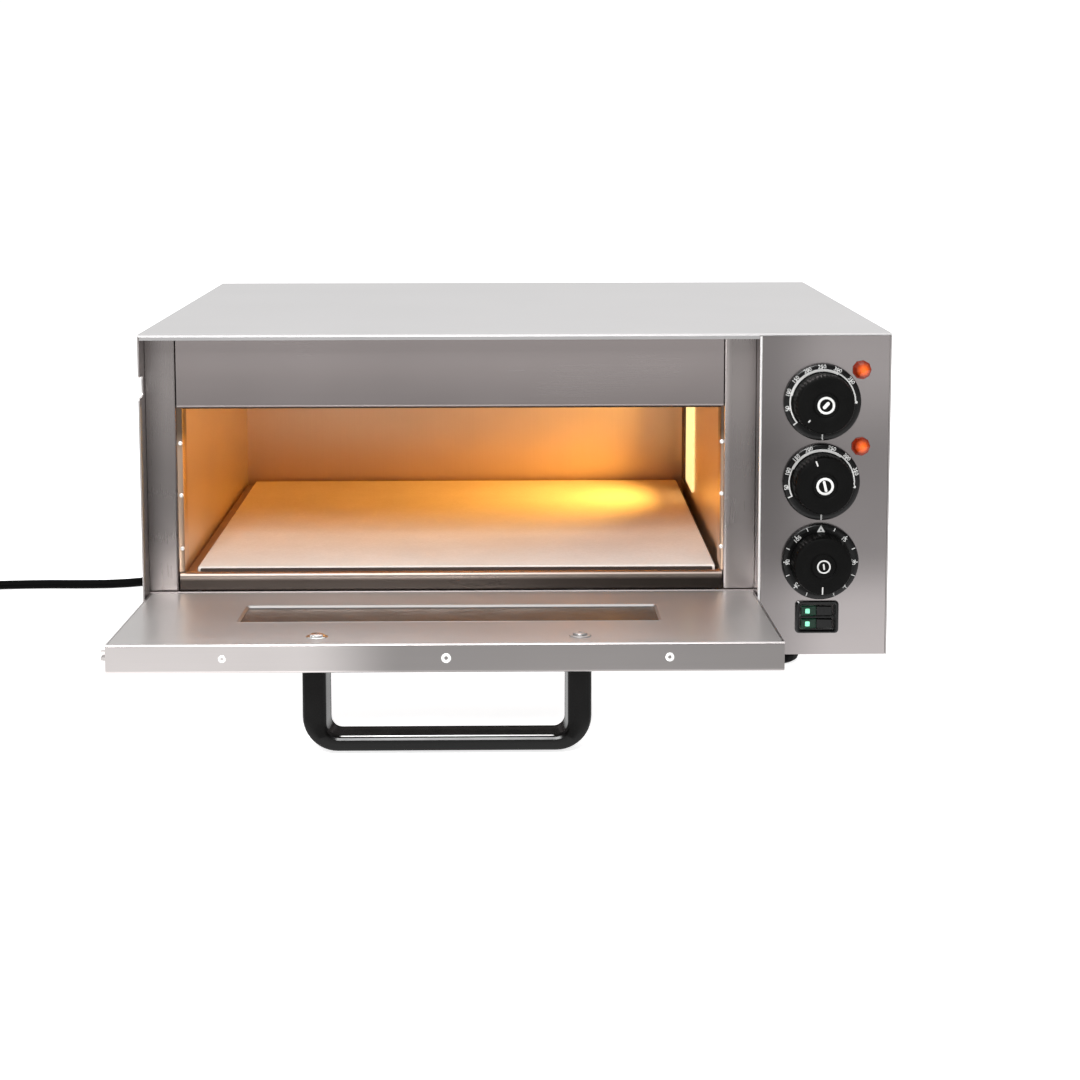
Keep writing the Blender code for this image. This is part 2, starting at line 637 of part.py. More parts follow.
def attach_cutters(axis):
    """Cutters of the door's pieces move with the door."""
    for thing in bpy.data.objects:
        if thing.hide_render and thing.parent is None and thing.name.startswith("door_"):
            if not thing.name.startswith("door_sill"):
                thing.parent = axis
        if thing.hide_render and thing.parent is None and thing.name.startswith("handle_"):
            thing.parent = axis


def make_handle():
    """A U-shaped bar handle: square legs off the door, big outer corners and a thin grip."""
    left = HANDLE_MID - HANDLE_WIDTH / 2
    right = HANDLE_MID + HANDLE_WIDTH / 2
    near = -DOOR_HALF - GAP
    far = -DOOR_HALF - HANDLE_REACH
    leg, grip = 16.5, 10.5
    points = [(left, near), (left, far), (right, far), (right, near), (right - leg, near),
              (right - leg, far + grip), (left + leg, far + grip), (left + leg, near)]
    outline = rounded(points, [0, 24, 24, 0, 0, 9, 9, 0], 7)
    wide = 26.5
    shape = prism("door_handle", outline, "Z", HANDLE_S - wide / 2, HANDLE_S + wide / 2,
                  black_plastic(), smooth=30.0)
    soften(shape, 3.2, 3, 60.0)
    for x in (HANDLE_MID - SCREW_SPAN / 2, HANDLE_MID + 1.3 + SCREW_SPAN / 2):
        hole = rod(f"handle_bore_{x:.0f}", "Y", (x, HANDLE_S), 2.5, -DOOR_HALF - 14, -DOOR_HALF + 6,
                   cutter_material(), 20)
        cut(shape, hole)
    return shape


# ------------------------------------------------------------------ feet and cord

def make_feet():
    for number, (x, depth) in enumerate(((-205, 92), (205, 92), (-205, 430), (205, 430)), 1):
        foot = [(0.0, 0.0), (16.5, 0.0), (19.8, 2.0), (21.6, 6.5), (22.2, 13.0), (21.4, FOOT_H - GAP),
                (0.0, FOOT_H - GAP)]
        turned(f"foot_{number}", foot, "Z", (x, back(depth)), black_plastic(), 24)


def smooth_route(points, spacing):
    """Evenly spaced points on a smooth curve through the route's own points."""
    dense = []
    padded = [points[0] * 2 - points[1]] + points + [points[-1] * 2 - points[-2]]
    for before, start, end, after in zip(padded, padded[1:], padded[2:], padded[3:]):
        for step in range(40):
            t = step / 40
            spot = (start * 2 + (end - before) * t
                    + (before * 2 - start * 5 + end * 4 - after) * t * t
                    + (start * 3 - before - end * 3 + after) * t ** 3) * 0.5
            dense.append(spot)
    dense.append(points[-1])
    total = sum((b - a).length for a, b in zip(dense, dense[1:]))
    count = max(2, round(total / spacing))
    wanted = total / count
    even = [dense[0]]
    walked = 0.0
    for a, b in zip(dense, dense[1:]):
        step = (b - a).length
        while walked + step >= wanted * len(even) and len(even) < count:
            part = (wanted * len(even) - walked) / step
            even.append(a.lerp(b, part))
        walked += step
    even.append(dense[-1])
    return even


CORD_ROUTE = ((-200, 518.4, 60), (-200, 528, 60), (-200, 539.3, 58.2), (-200, 549.5, 52.9), (-200, 557.5, 44.6),
              (-200, 565, 34), (-202.7, 572.9, 22.7), (-210.5, 579.6, 13.2), (-222.2, 584.1, 6.8),
              (-236, 585.7, 4.5), (-250, 585.7, 4.5), (-273, 581, 4.5), (-292.4, 568, 4.5), (-305.4, 548.6, 4.5),
              (-310, 525, 4.5), (-311, 492, 4.5), (-312, 452, 4.5), (-315, 418, 4.5), (-324, 389, 4.5),
              (-343, 370.5, 4.5), (-368, 362, 4.5), (-395, 360.3, 4.5), (-430, 361, 4.5),
              (-465, 359, 4.5), (-490.5, 355.9, 4.5))


def make_cord():
    rubber = finish("cord_rubber", (0.015, 0.015, 0.015), 0.55, 0.0)
    x, z = CORD_EXIT
    gland = [(0.0, back(474)), (8.0, back(474)), (8.0, back(490.3)), (11.5, back(490.3)), (11.5, back(496)),
             (8.4, back(499)), (6.0, back(518)), (0.0, back(518))]
    turned("cable_gland", gland, "Y", (x, z), black_plastic(), 24)
    points = [Vector((px, back(depth), pz)) * MM for px, depth, pz in CORD_ROUTE]
    tube("cord_run", smooth_route(points, 21 * MM), CORD_D / 2, rubber, 2)
    low, high = GAP, 17.3
    ring = [(COIL_OUTER, low + 3), (COIL_OUTER, high - 3), (COIL_OUTER - 3, high), (COIL_INNER + 3, high),
            (COIL_INNER, high - 3), (COIL_INNER, low + 3), (COIL_INNER + 3, low), (COIL_OUTER - 3, low)]
    turned("cord_coil", ring, "Z", (COIL_AT[0], back(COIL_AT[1])), rubber, 28, closed=True)
    make_plug(rubber)


def make_plug(rubber):
    """A moulded plug lying on the table in front of the coil: tail, grip, round head and two pins."""
    x, tail = PLUG_AT
    z = GAP + 18.6
    body = [(0.0, back(tail - 56)), (16.5, back(tail - 56)), (18.3, back(tail - 54.5)), (18.6, back(tail - 43)),
            (14.0, back(tail - 40)), (11.5, back(tail - 24)), (7.5, back(tail - 13)), (4.9, back(tail)),
            (0.0, back(tail))]
    plug = turned("plug", body, "Y", (x, z), rubber, 28)
    for side in (-9.5, 9.5):
        pin = rod(f"plug_pin_{side:.0f}", "Y", (x + side, z), 2.4, back(tail - 75), back(tail - 51),
                  cutter_material(), 16)
        join(plug, pin)


def main():
    clear_scene()
    make_top_cover()
    make_side_panels()
    make_back_panel()
    make_base_pan()
    make_front_frame()
    make_control_panel()
    make_chamber_liner()
    make_stone()
    make_heaters()
    make_oven_lamp()
    make_insulation()
    make_controls()
    make_switch()
    make_rocker("rocker_power", SWITCH_Z + 4.95)
    make_rocker("rocker_light", SWITCH_Z - 4.95)
    make_terminal_block()
    make_knob("knob_upper", KNOB_Z[0], 0.0)
    make_knob("knob_lower", KNOB_Z[1], 0.0)
    make_knob("knob_timer", KNOB_Z[2], 0.0)
    make_door()
    make_feet()
    make_cord()


main()
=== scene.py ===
"""The looks of a countertop deck oven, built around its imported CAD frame. Metres, +Z up, front at -Y."""
import math

import bmesh
import bpy
from mathutils import Matrix, Vector


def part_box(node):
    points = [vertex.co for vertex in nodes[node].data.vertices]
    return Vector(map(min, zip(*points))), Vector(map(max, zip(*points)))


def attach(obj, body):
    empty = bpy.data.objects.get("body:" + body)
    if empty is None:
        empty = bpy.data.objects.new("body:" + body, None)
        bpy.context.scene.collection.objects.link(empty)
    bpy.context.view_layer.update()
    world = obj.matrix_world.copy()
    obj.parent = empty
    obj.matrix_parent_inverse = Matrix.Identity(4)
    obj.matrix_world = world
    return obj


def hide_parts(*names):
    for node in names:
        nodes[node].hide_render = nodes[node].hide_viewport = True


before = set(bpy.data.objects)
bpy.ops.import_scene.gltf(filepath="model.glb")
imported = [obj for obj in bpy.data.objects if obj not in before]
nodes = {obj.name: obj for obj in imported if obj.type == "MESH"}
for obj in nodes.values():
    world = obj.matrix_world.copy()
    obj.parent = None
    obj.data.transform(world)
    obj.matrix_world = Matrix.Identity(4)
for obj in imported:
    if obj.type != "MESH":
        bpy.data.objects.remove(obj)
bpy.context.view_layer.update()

MM = 0.001
FRONT = -0.159                      # Y of the control panel's face
HINGE = Vector((0.0, FRONT + 0.010, 0.063))
DOOR_OPEN = math.radians(88.0)
FOOT_TOP = 27.0
DEPTH = 490.0
FLOOR_GLOW = 0.80
DARK_FRONT = 0.04


def back(depth):
    """Y of a point this many millimetres behind the control panel's face."""
    return FRONT + depth * MM


def linked(name, data):
    """A new object in the scene."""
    made = bpy.data.objects.new(name, data)
    bpy.context.scene.collection.objects.link(made)
    return made


# ---------------- camera

def make_camera():
    """A long lens 1.6 m in front of the control panel, above the oven's top and tipped down."""
    lens = bpy.data.cameras.new("camera")
    lens.lens = 72.19
    lens.sensor_width = 36.0
    lens.shift_y = -0.1492
    lens.clip_end = 60.0
    view = linked("camera", lens)
    view.location = (-0.0056, back(-1597.2), 0.4336)
    view.rotation_mode = "XYZ"
    view.rotation_euler = (math.radians(90.0 - 7.0), math.radians(0.066), math.radians(-0.862))
    bpy.context.scene.camera = view


# ---------------- materials

def shader_of(name):
    """A new node material and its Principled shader."""
    made = bpy.data.materials.new(name)
    made.use_nodes = True
    return made, made.node_tree, made.node_tree.nodes["Principled BSDF"]


def add_noise(tree, stretch, detail, rough=0.55):
    """Noise over object coordinates, scaled by its own number on each axis."""
    where = tree.nodes.new("ShaderNodeTexCoord")
    scale = tree.nodes.new("ShaderNodeMapping")
    scale.inputs["Scale"].default_value = stretch
    grain = tree.nodes.new("ShaderNodeTexNoise")
    grain.inputs["Scale"].default_value = 1.0
    grain.inputs["Detail"].default_value = detail
    grain.inputs["Roughness"].default_value = rough
    tree.links.new(where.outputs["Object"], scale.inputs["Vector"])
    tree.links.new(scale.outputs["Vector"], grain.inputs["Vector"])
    return grain.outputs["Fac"]


def spread(tree, value, low, high, begin=0.3, end=0.7, easing="LINEAR"):
    """Stretch a value so that begin gives low and end gives high."""
    node = tree.nodes.new("ShaderNodeMapRange")
    node.interpolation_type = easing
    node.inputs["From Min"].default_value = begin
    node.inputs["From Max"].default_value = end
    node.inputs["To Min"].default_value = low
    node.inputs["To Max"].default_value = high
    tree.links.new(value, node.inputs["Value"])
    return node.outputs["Result"]


def ramp_of(tree, value, begin, end, low, high):
    """The same with an eased start and end."""
    return spread(tree, value, low, high, begin, end, "SMOOTHSTEP")


def object_axis(tree, axis):
    """One of a surface point's coordinates on its own object."""
    where = tree.nodes.new("ShaderNodeTexCoord")
    parts = tree.nodes.new("ShaderNodeSeparateXYZ")
    tree.links.new(where.outputs["Object"], parts.inputs["Vector"])
    return parts.outputs[axis]


def tint(tree, value, first, second, begin=0.3, end=0.7):
    """A colour between two, by a 0 to 1 value."""
    ramp = tree.nodes.new("ShaderNodeValToRGB")
    ramp.color_ramp.elements[0].position = begin
    ramp.color_ramp.elements[0].color = (*first, 1.0)
    ramp.color_ramp.elements[1].position = end
    ramp.color_ramp.elements[1].color = (*second, 1.0)
    tree.links.new(value, ramp.inputs["Fac"])
    return ramp.outputs["Color"]


def bump(tree, shader, value, strength, distance):
    """Small relief in the shading, from a 0 to 1 height."""
    node = tree.nodes.new("ShaderNodeBump")
    node.inputs["Strength"].default_value = strength
    node.inputs["Distance"].default_value = distance
    tree.links.new(value, node.inputs["Height"])
    tree.links.new(node.outputs["Normal"], shader.inputs["Normal"])


def scaled(color, factor):
    """The colour lighter or darker, kept under full white."""
    return tuple(min(1.0, part * factor) for part in color)


def mix_values(tree, first, second, kind="MULTIPLY"):
    """Two values joined by this operation."""
    node = tree.nodes.new("ShaderNodeMath")
    node.operation = kind
    tree.links.new(first, node.inputs[0])
    tree.links.new(second, node.inputs[1])
    return node.outputs["Value"]


# Scratches per metre on each axis, by the axis that they run along
GRAIN = {"X": (9.0, 1500.0, 1500.0), "Y": (1500.0, 9.0, 1500.0), "Z": (1500.0, 1500.0, 9.0)}


def painted_light_ramp(tree, color, axis, begin, end, low, high):
    """Painted light and shade: the colour made darker or lighter along one axis of the object, from low at
    begin to high at end.
    """
    factor = ramp_of(tree, object_axis(tree, axis), begin, end, low, high)
    node = tree.nodes.new("ShaderNodeVectorMath")
    node.operation = "SCALE"
    tree.links.new(color, node.inputs[0])
    tree.links.new(factor, node.inputs["Scale"])
    return node.outputs["Vector"]


def brushed(name, color, rough, along, metal=1.0, smudge=0.04, painted_light_ramps=(), stretch=0.0):
    """Brushed stainless sheet: fine scratches along one axis under broad, faint smudges, with painted light
    and shade ramps where given.
    """
    made, tree, shader = shader_of(name)
    if stretch:
        across = tree.nodes.new("ShaderNodeCombineXYZ")
        across.inputs["Y" if along == "X" else "X"].default_value = 1.0
        tree.links.new(across.outputs["Vector"], shader.inputs["Tangent"])
        shader.inputs["Anisotropic"].default_value = stretch
    grain = add_noise(tree, GRAIN[along], 2.0, 0.6)
    broad = add_noise(tree, (9.0, 9.0, 14.0), 2.0, 0.5)
    both = mix_values(tree, spread(tree, grain, 0.455, 0.545), spread(tree, broad, 0.7, 1.3))
    shader.inputs["Metallic"].default_value = metal
    shade = tint(tree, both, scaled(color, 1 - smudge), scaled(color, 1 + smudge), 0.2, 0.8)
    for change in painted_light_ramps:
        shade = painted_light_ramp(tree, shade, *change)
    tree.links.new(shade, shader.inputs["Base Color"])
    tree.links.new(spread(tree, both, rough - 0.03, rough + 0.03, 0.2, 0.8), shader.inputs["Roughness"])
    bump(tree, shader, grain, 0.008, 0.0001)
    return made


def moulded(name, color, rough, grit=900.0, depth=0.05, specular=0.5):
    """Moulded plastic or rubber with a fine grit and slight sheen changes."""
    made, tree, shader = shader_of(name)
    fine = add_noise(tree, (grit, grit, grit), 2.0)
    broad = add_noise(tree, (40.0, 40.0, 40.0), 2.0)
    tree.links.new(tint(tree, broad, scaled(color, 0.85), scaled(color, 1.2)), shader.inputs["Base Color"])
    tree.links.new(spread(tree, broad, rough - 0.05, rough + 0.06), shader.inputs["Roughness"])
    shader.inputs["Specular IOR Level"].default_value = specular
    bump(tree, shader, fine, depth, 0.0001)
    return made


def make_materials():
    """Every finish that only needs a colour, a roughness and its painted light and shade gradients (axis,
    begin, end, low, high).
    """
    steel = (0.465, 0.415, 0.407)
    return {
        "top": brushed("steel_top", (0.53, 0.52, 0.52), 0.42, "X"),
        # Painted light and shade: the fascia and lower rail darker toward the bottom, lighter toward the top.
        "face": brushed("steel_face", steel, 0.26, "X", painted_light_ramps=(("Z", 0.205, 0.265, 0.80, 1.15),)),
        # Painted light and shade: the panel lighter low down, darker through the middle, much lighter toward
        # the top, and darker along its left edge.
        "panel": brushed("steel_panel", (0.485, 0.447, 0.443), 0.24, "X", painted_light_ramps=(
            ("X", 0.185, 0.240, 0.60, 1.0), ("Z", 0.060, 0.110, 1.30, 0.75), ("Z", 0.170, 0.262, 1.0, 1.7))),
        # Painted light and shade on the two pillars, lit and shaded copies of one steel: darker on their
        # lower part but lighter at the very bottom; the left one darker along its outer edge, the right one
        # with a painted highlight along its edge by the mouth.
        "upright": brushed("steel_upright", (0.44, 0.40, 0.39), 0.28, "Z", painted_light_ramps=(
            ("X", -0.276, -0.262, 0.74, 1.0), ("Z", 0.160, 0.235, 0.64, 1.0), ("Z", 0.070, 0.125, 1.5, 1.0))),
        "upright_right": brushed("steel_upright_right", (0.44, 0.40, 0.39), 0.28, "Z", painted_light_ramps=(
            ("X", 0.1585, 0.1635, 1.55, 1.0), ("Z", 0.160, 0.235, 0.66, 1.0), ("Z", 0.070, 0.125, 1.5, 1.0))),
        # Painted shade: the mouth's flanges darker toward their top, under the fascia.
        "flange": brushed("steel_flange", (0.62, 0.44, 0.32), 0.30, "Z", 1.0, 0.05,
                          (("Z", 0.178, 0.196, 1.0, 0.30),)),
        "ledge": brushed("steel_ledge", (0.50, 0.34, 0.24), 0.50, "Y"),
        # Painted shade: the sill's front almost black below its rounded top, in the gap above the open door,
        # and a little darker toward the right.
        "sill": brushed("steel_sill", (0.80, 0.66, 0.58), 0.28, "X", painted_light_ramps=(
            ("Z", 0.0800, 0.0866, 0.07, 1.0), ("X", -0.05, 0.08, 1.0, 0.66))),
        "side": brushed("steel_side", (0.57, 0.54, 0.53), 0.38, "Y"),
        "door_outer": brushed("steel_door_outer", (0.52, 0.495, 0.49), 0.30, "X"),
        "door": brushed("steel_door", (0.38, 0.365, 0.358), 0.34, "X", 0.85, 0.03, stretch=0.85),
        # Painted highlight: the door's free edge pale, lighter toward the left and darker toward the right.
        "door_edge": brushed("steel_door_edge", (0.90, 0.845, 0.83), 0.34, "X",
                             painted_light_ramps=(("X", -0.150, -0.075, 1.0, 0.44),)),
        # The chamber's warm brown is partly the steel's own colour and partly painted warm lamp light.
        "chamber": brushed("chamber_steel", (0.72, 0.53, 0.37), 0.34, "Z", 0.85, 0.08),
        "bright": brushed("bright_steel", (0.86, 0.85, 0.84), 0.20, "X", 1.0, 0.02),
        # Very pale, weakly metallic steel: partly the edges' own polish, partly a painted highlight on the
        # panel's rolled edge and the handle's pale strip.
        "polish": brushed("polished_edge_and_painted_highlight", (0.95, 0.94, 0.93), 0.30, "Z", 0.6, 0.01),
        "zinc": brushed("zinc_plate", (0.92, 0.91, 0.90), 0.42, "X", 0.45, 0.02),
        # Black rubber for the gasket, also painted shade in the screws' recesses and in the dark line under
        # the fascia.
        "gasket": moulded("black_gasket_and_painted_shade", (0.010, 0.009, 0.008), 0.8),
        # Near-black brown steel, used as painted shade: the bar before the stone, the strip in the groove
        # beside it, the stone's right side and the fascia's underside; also the lamp's bracket.
        "stop": moulded("dark_steel_painted_shade", (0.030, 0.014, 0.008), 0.6),
        "knob": moulded("knob_black", (0.0040, 0.0040, 0.0039), 0.46, specular=0.05),
        "dial": moulded("dial_black", (0.0030, 0.0030, 0.0030), 0.26, 1500.0, 0.02, specular=0.35),
        "handle": moulded("handle_black", (0.0026, 0.0024, 0.0023), 0.16, 700.0, 0.010, specular=0.26),
        "rubber": moulded("rubber_black", (0.0018, 0.0018, 0.0018), 0.55, specular=0.04),
        "cream": moulded("cream_plastic", (0.62, 0.58, 0.48), 0.5),
        "wool": moulded("mineral_wool", (0.60, 0.52, 0.36), 0.95, 500.0, 0.6),
        "sheath": moulded("heater_sheath", (0.08, 0.065, 0.055), 0.45, 1200.0, 0.2),
    }


def make_stone_material():
    """Pale fired clay, with painted shade and warm lamp light: a little browner toward the back."""
    made, tree, shader = shader_of("stone_clay")
    fine = add_noise(tree, (420.0, 420.0, 420.0), 4.0, 0.7)
    broad = add_noise(tree, (14.0, 14.0, 14.0), 3.0, 0.6)
    both = mix_values(tree, spread(tree, fine, 0.7, 1.3), spread(tree, broad, 0.35, 0.65))
    clay = tint(tree, both, (0.84, 0.77, 0.71), (0.96, 0.90, 0.85), 0.25, 0.75)
    # Painted shade and warm lamp light: the clay browner toward the back.
    depth = ramp_of(tree, object_axis(tree, "Y"), -0.11, 0.12, 0.0, 1.0)
    clay_with_painted_shade = tree.nodes.new("ShaderNodeVectorMath")
    clay_with_painted_shade.operation = "MULTIPLY"
    tree.links.new(clay, clay_with_painted_shade.inputs[0])
    tree.links.new(tint(tree, depth, (1.0, 1.0, 1.0), (0.93, 0.82, 0.68), 0.0, 1.0), clay_with_painted_shade.inputs[1])
    tree.links.new(clay_with_painted_shade.outputs["Vector"], shader.inputs["Base Color"])
    shader.inputs["Roughness"].default_value = 0.9
    bump(tree, shader, fine, 0.35, 0.0003)
    return made


def glowing(name, color, strength, rough=0.2, edge=None):
    """A lit or deep-coloured lens, with painted shade darker toward its edge where an edge colour is given.
    """
    made, tree, shader = shader_of(name)
    cloud = add_noise(tree, (300.0, 300.0, 300.0), 2.0)
    shade = tint(tree, cloud, scaled(color, 0.8), color)
    if edge:
        # Painted shade on the lens: darker toward its edge, centred a little right of the middle so the left
        # is darkest; the bright middle is the lamp's own glow.
        where = tree.nodes.new("ShaderNodeTexCoord")
        centred = tree.nodes.new("ShaderNodeMapping")
        centred.inputs["Location"].default_value = (-1.1, -1.0, -1.0)
        centred.inputs["Scale"].default_value = (2.0, 2.0, 2.0)
        tree.links.new(where.outputs["Generated"], centred.inputs["Vector"])
        away = tree.nodes.new("ShaderNodeVectorMath")
        away.operation = "MULTIPLY"
        away.inputs[1].default_value = (1.0, 0.0, 1.0)
        tree.links.new(centred.outputs["Vector"], away.inputs[0])
        reach = tree.nodes.new("ShaderNodeVectorMath")
        reach.operation = "LENGTH"
        tree.links.new(away.outputs["Vector"], reach.inputs[0])
        shade = tint(tree, reach.outputs["Value"], color, edge, 0.12, 0.80)
    tree.links.new(shade, shader.inputs["Base Color"])
    tree.links.new(shade, shader.inputs["Emission Color"])
    shader.inputs["Roughness"].default_value = rough
    shader.inputs["Emission Strength"].default_value = strength
    return made


def round_edges(piece, radius, segments, limit):
    """A bevel of this radius in millimetres on the edges sharper than the limit in degrees."""
    edge = piece.modifiers.new("edge", "BEVEL")
    edge.width = radius * MM
    edge.segments = segments
    edge.limit_method = "ANGLE"
    edge.angle_limit = math.radians(limit)
    return edge


def paint(node, material, bevel):
    """Give a CAD node its finish, and round its edges a little."""
    piece = nodes[node]
    piece.data.materials.clear()
    piece.data.materials.append(material)
    piece.data.shade_smooth()
    piece.data.set_sharp_from_angle(angle=math.radians(40.0))
    if bevel:
        round_edges(piece, bevel, 3, 50.0).harden_normals = True


# ---------------- making pieces

def spot(x, depth, z):
    """A point given in millimetres, with depth counted back from the control panel's face."""
    return Vector((x * MM, back(depth), z * MM))


def add_piece(name, shape, look, body, angle=35.0, bevel=0.0):
    """A new mesh from a bmesh, shaded smooth but for its sharp edges, that rides on a CAD body."""
    bmesh.ops.recalc_face_normals(shape, faces=shape.faces)
    mesh = bpy.data.meshes.new(name)
    shape.to_mesh(mesh)
    shape.free()
    piece = linked(name, mesh)
    mesh.materials.append(look)
    mesh.shade_smooth()
    mesh.set_sharp_from_angle(angle=math.radians(angle))
    if bevel:
        round_edges(piece, bevel, 2, 40.0)
    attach(piece, body)
    return piece


def upright(origin):
    """Local +Z comes out of the front, local +Y is up and local +X is to the right."""
    return Matrix.Translation(origin) @ Matrix.Rotation(math.radians(90.0), 4, "X")


def lathe(profile, sides, flutes=0, flute_depth=0.0, flute_rows=()):
    """Profile points (radius, height) in millimetres spun about local +Z, with flutes on the named rows."""
    shape = bmesh.new()
    rings = []
    for row, (radius, height) in enumerate(profile):
        if radius < 1e-6:
            rings.append([shape.verts.new((0.0, 0.0, height * MM))])
            continue
        ring = []
        for step in range(sides):
            turn = math.tau * step / sides
            cut = flute_depth * (0.5 - 0.5 * math.cos(turn * flutes)) if row in flute_rows else 0.0
            around = (radius - cut) * MM
            ring.append(shape.verts.new((around * math.cos(turn), around * math.sin(turn), height * MM)))
        rings.append(ring)
    for first, second in zip(rings, rings[1:]):
        for step in range(sides):
            following = (step + 1) % sides
            if len(first) == 1:
                shape.faces.new((first[0], second[step], second[following]))
            elif len(second) == 1:
                shape.faces.new((first[step], second[0], first[following]))
            else:
                shape.faces.new((first[step], second[step], second[following], first[following]))
    return shape


def skin(shape, rows, looped=False, capped=False):
    """Faces between rings of points. The last ring joins the first one, or a face closes each end."""
    count = len(rows[0])
    for first, second in zip(rows, rows[1:] + (rows[:1] if looped else [])):
        for step in range(count):
            following = (step + 1) % count
            shape.faces.new((first[step], second[step], second[following], first[following]))
    if capped:
        shape.faces.new(rows[0])
        shape.faces.new(rows[-1])


def raised(points, rise):
    """A flat outline of points in metres, extruded along Z by this many millimetres."""
    shape = bmesh.new()
    face = shape.faces.new([shape.verts.new(point) for point in points])
    grown = bmesh.ops.extrude_face_region(shape, geom=[face])
    moved = [part for part in grown["geom"] if isinstance(part, bmesh.types.BMVert)]
    bmesh.ops.translate(shape, verts=moved, vec=(0.0, 0.0, rise * MM))
    return shape


def circle(radius, count=40):
    """A round outline about the origin."""
    return [(radius * math.cos(math.tau * step / count), radius * math.sin(math.tau * step / count))
            for step in range(count)]


def slab(outline, low, high):
    """An outline in local X and Y, extruded along local Z."""
    return raised([(x * MM, y * MM, low * MM) for x, y in outline], high - low)


def band(inner, outer, low, high):
    """A flat ring between two outlines with the same number of points, from low to high."""
    shape = bmesh.new()
    rows = [[shape.verts.new((x * MM, y * MM, z * MM)) for x, y in outline]
            for outline, z in ((inner, low), (outer, low), (outer, high), (inner, high))]
    skin(shape, rows, looped=True)
    return shape


def oblong(wide, tall, corner, steps, middle=(0.0, 0.0)):
    """A rectangle with round corners, as points."""
    found = []
    for sign_x, sign_y, start in ((1, 1, 0), (-1, 1, 90), (-1, -1, 180), (1, -1, 270)):
        for step in range(steps + 1):
            turn = math.radians(start + 90.0 * step / steps)
            found.append((middle[0] + sign_x * (wide / 2 - corner) + corner * math.cos(turn),
                          middle[1] + sign_y * (tall / 2 - corner) + corner * math.sin(turn)))
    return found


def arc_band(radius, width, begin, end, low, high, steps=40):
    """A flat arc in local X and Y, between two angles counted from +X."""
    outline = [(radius - width / 2, begin, end), (radius + width / 2, end, begin)]
    points = []
    for around, first, last in outline:
        for step in range(steps + 1):
            turn = math.radians(first + (last - first) * step / steps)
            points.append((around * math.cos(turn), around * math.sin(turn)))
    return slab(points, low, high)


def merge(*shapes):
    """Several bmeshes as one."""
    whole = bmesh.new()
    for shape in shapes:
        mesh = bpy.data.meshes.new("part")
        shape.to_mesh(mesh)
        shape.free()
        whole.from_mesh(mesh)
        bpy.data.meshes.remove(mesh)
    return whole


def turned_by(shape, matrix):
    """The same bmesh, moved by a matrix."""
    shape.transform(matrix)
    return shape


def write(text, size, place, look, name, body, angle, radius, lift):
    """A raised numeral, set at a radius and angle about a face and read from the front."""
    line = bpy.data.curves.new(name, "FONT")
    line.body = text
    line.size = size * MM
    line.extrude = 0.06 * MM
    line.offset = 0.07 * MM
    line.resolution_u = 3
    line.align_x = "CENTER"
    line.align_y = "CENTER"
    line.materials.append(look)
    piece = linked(name, line)
    turn = math.radians(angle)
    shift = Vector((radius * math.cos(turn), radius * math.sin(turn), lift)) * MM
    upward = Matrix.Rotation(turn - math.radians(90.0), 4, "Z")
    piece.matrix_world = place @ Matrix.Translation(shift) @ upward
    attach(piece, body)
    return piece


# ---------------- knobs and dials

KNOB_X, KNOB_Z = 228.5, (219.7, 159.4, 98.8)
RING_R, CAP_R = 28.8, 22.5
RING_FACE = 4.2                     # how far the dial ring stands off the panel
CAP_FACE = 22.0                     # how far the knob's cap does


def make_dial_ring(name, replaced, height, looks):
    """The black ring round a knob, and its place on the panel."""
    place = upright(spot(KNOB_X, 0.0, height))
    profile = [(12.0, 0.3), (RING_R - 0.3, 0.3), (RING_R, 0.8), (RING_R, 3.0), (RING_R - 0.5, 3.8),
               (RING_R - 1.4, RING_FACE), (25.0, RING_FACE - 0.1), (22.6, 3.9), (12.0, 3.7), (12.0, 0.3)]
    ring = add_piece(name, turned_by(lathe(profile, 96), place), looks["dial"], "oven", 30.0)
    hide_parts(replaced)
    return place


def tick(radius, angle, length, width, lift):
    """A short printed line along a radius."""
    half = width / 2
    outline = [(radius - length / 2, -half), (radius + length / 2, -half),
               (radius + length / 2, half), (radius - length / 2, half)]
    return turned_by(slab(outline, lift, lift + 0.14), Matrix.Rotation(math.radians(angle), 4, "Z"))


def make_heat_scale(name, place, looks, begin, end, marks):
    """Arc, end dot, index tick and numerals of a thermostat's dial."""
    face = RING_FACE - 0.12
    arc = arc_band(24.4, 1.0, begin, end, face, face + 0.16)
    wide = arc_band(24.1, 1.9, begin - 50, end + 62, face, face + 0.15, 20)
    dot = [(24.9 + 1.05 * math.cos(math.tau * step / 16), 1.05 * math.sin(math.tau * step / 16))
           for step in range(16)]
    stop = turned_by(slab(dot, face, face + 0.18), Matrix.Rotation(math.radians(end), 4, "Z"))
    foot = tick(25.8, begin, 3.6, 0.9, face)
    index = tick(26.2, 270.0, 4.4, 1.0, face)
    parts = [arc, wide, stop, foot, index]
    parts += [tick(25.6, angle, 2.2, 0.7, face) for angle, _ in marks]
    scale = add_piece(f"{name}_scale", turned_by(merge(*parts), place), looks["print"], "oven")
    for angle, text in marks:
        number = write(text, 4.1, place, looks["print"], f"{name}_number_{text}", "oven",
                       angle, 26.6, RING_FACE)


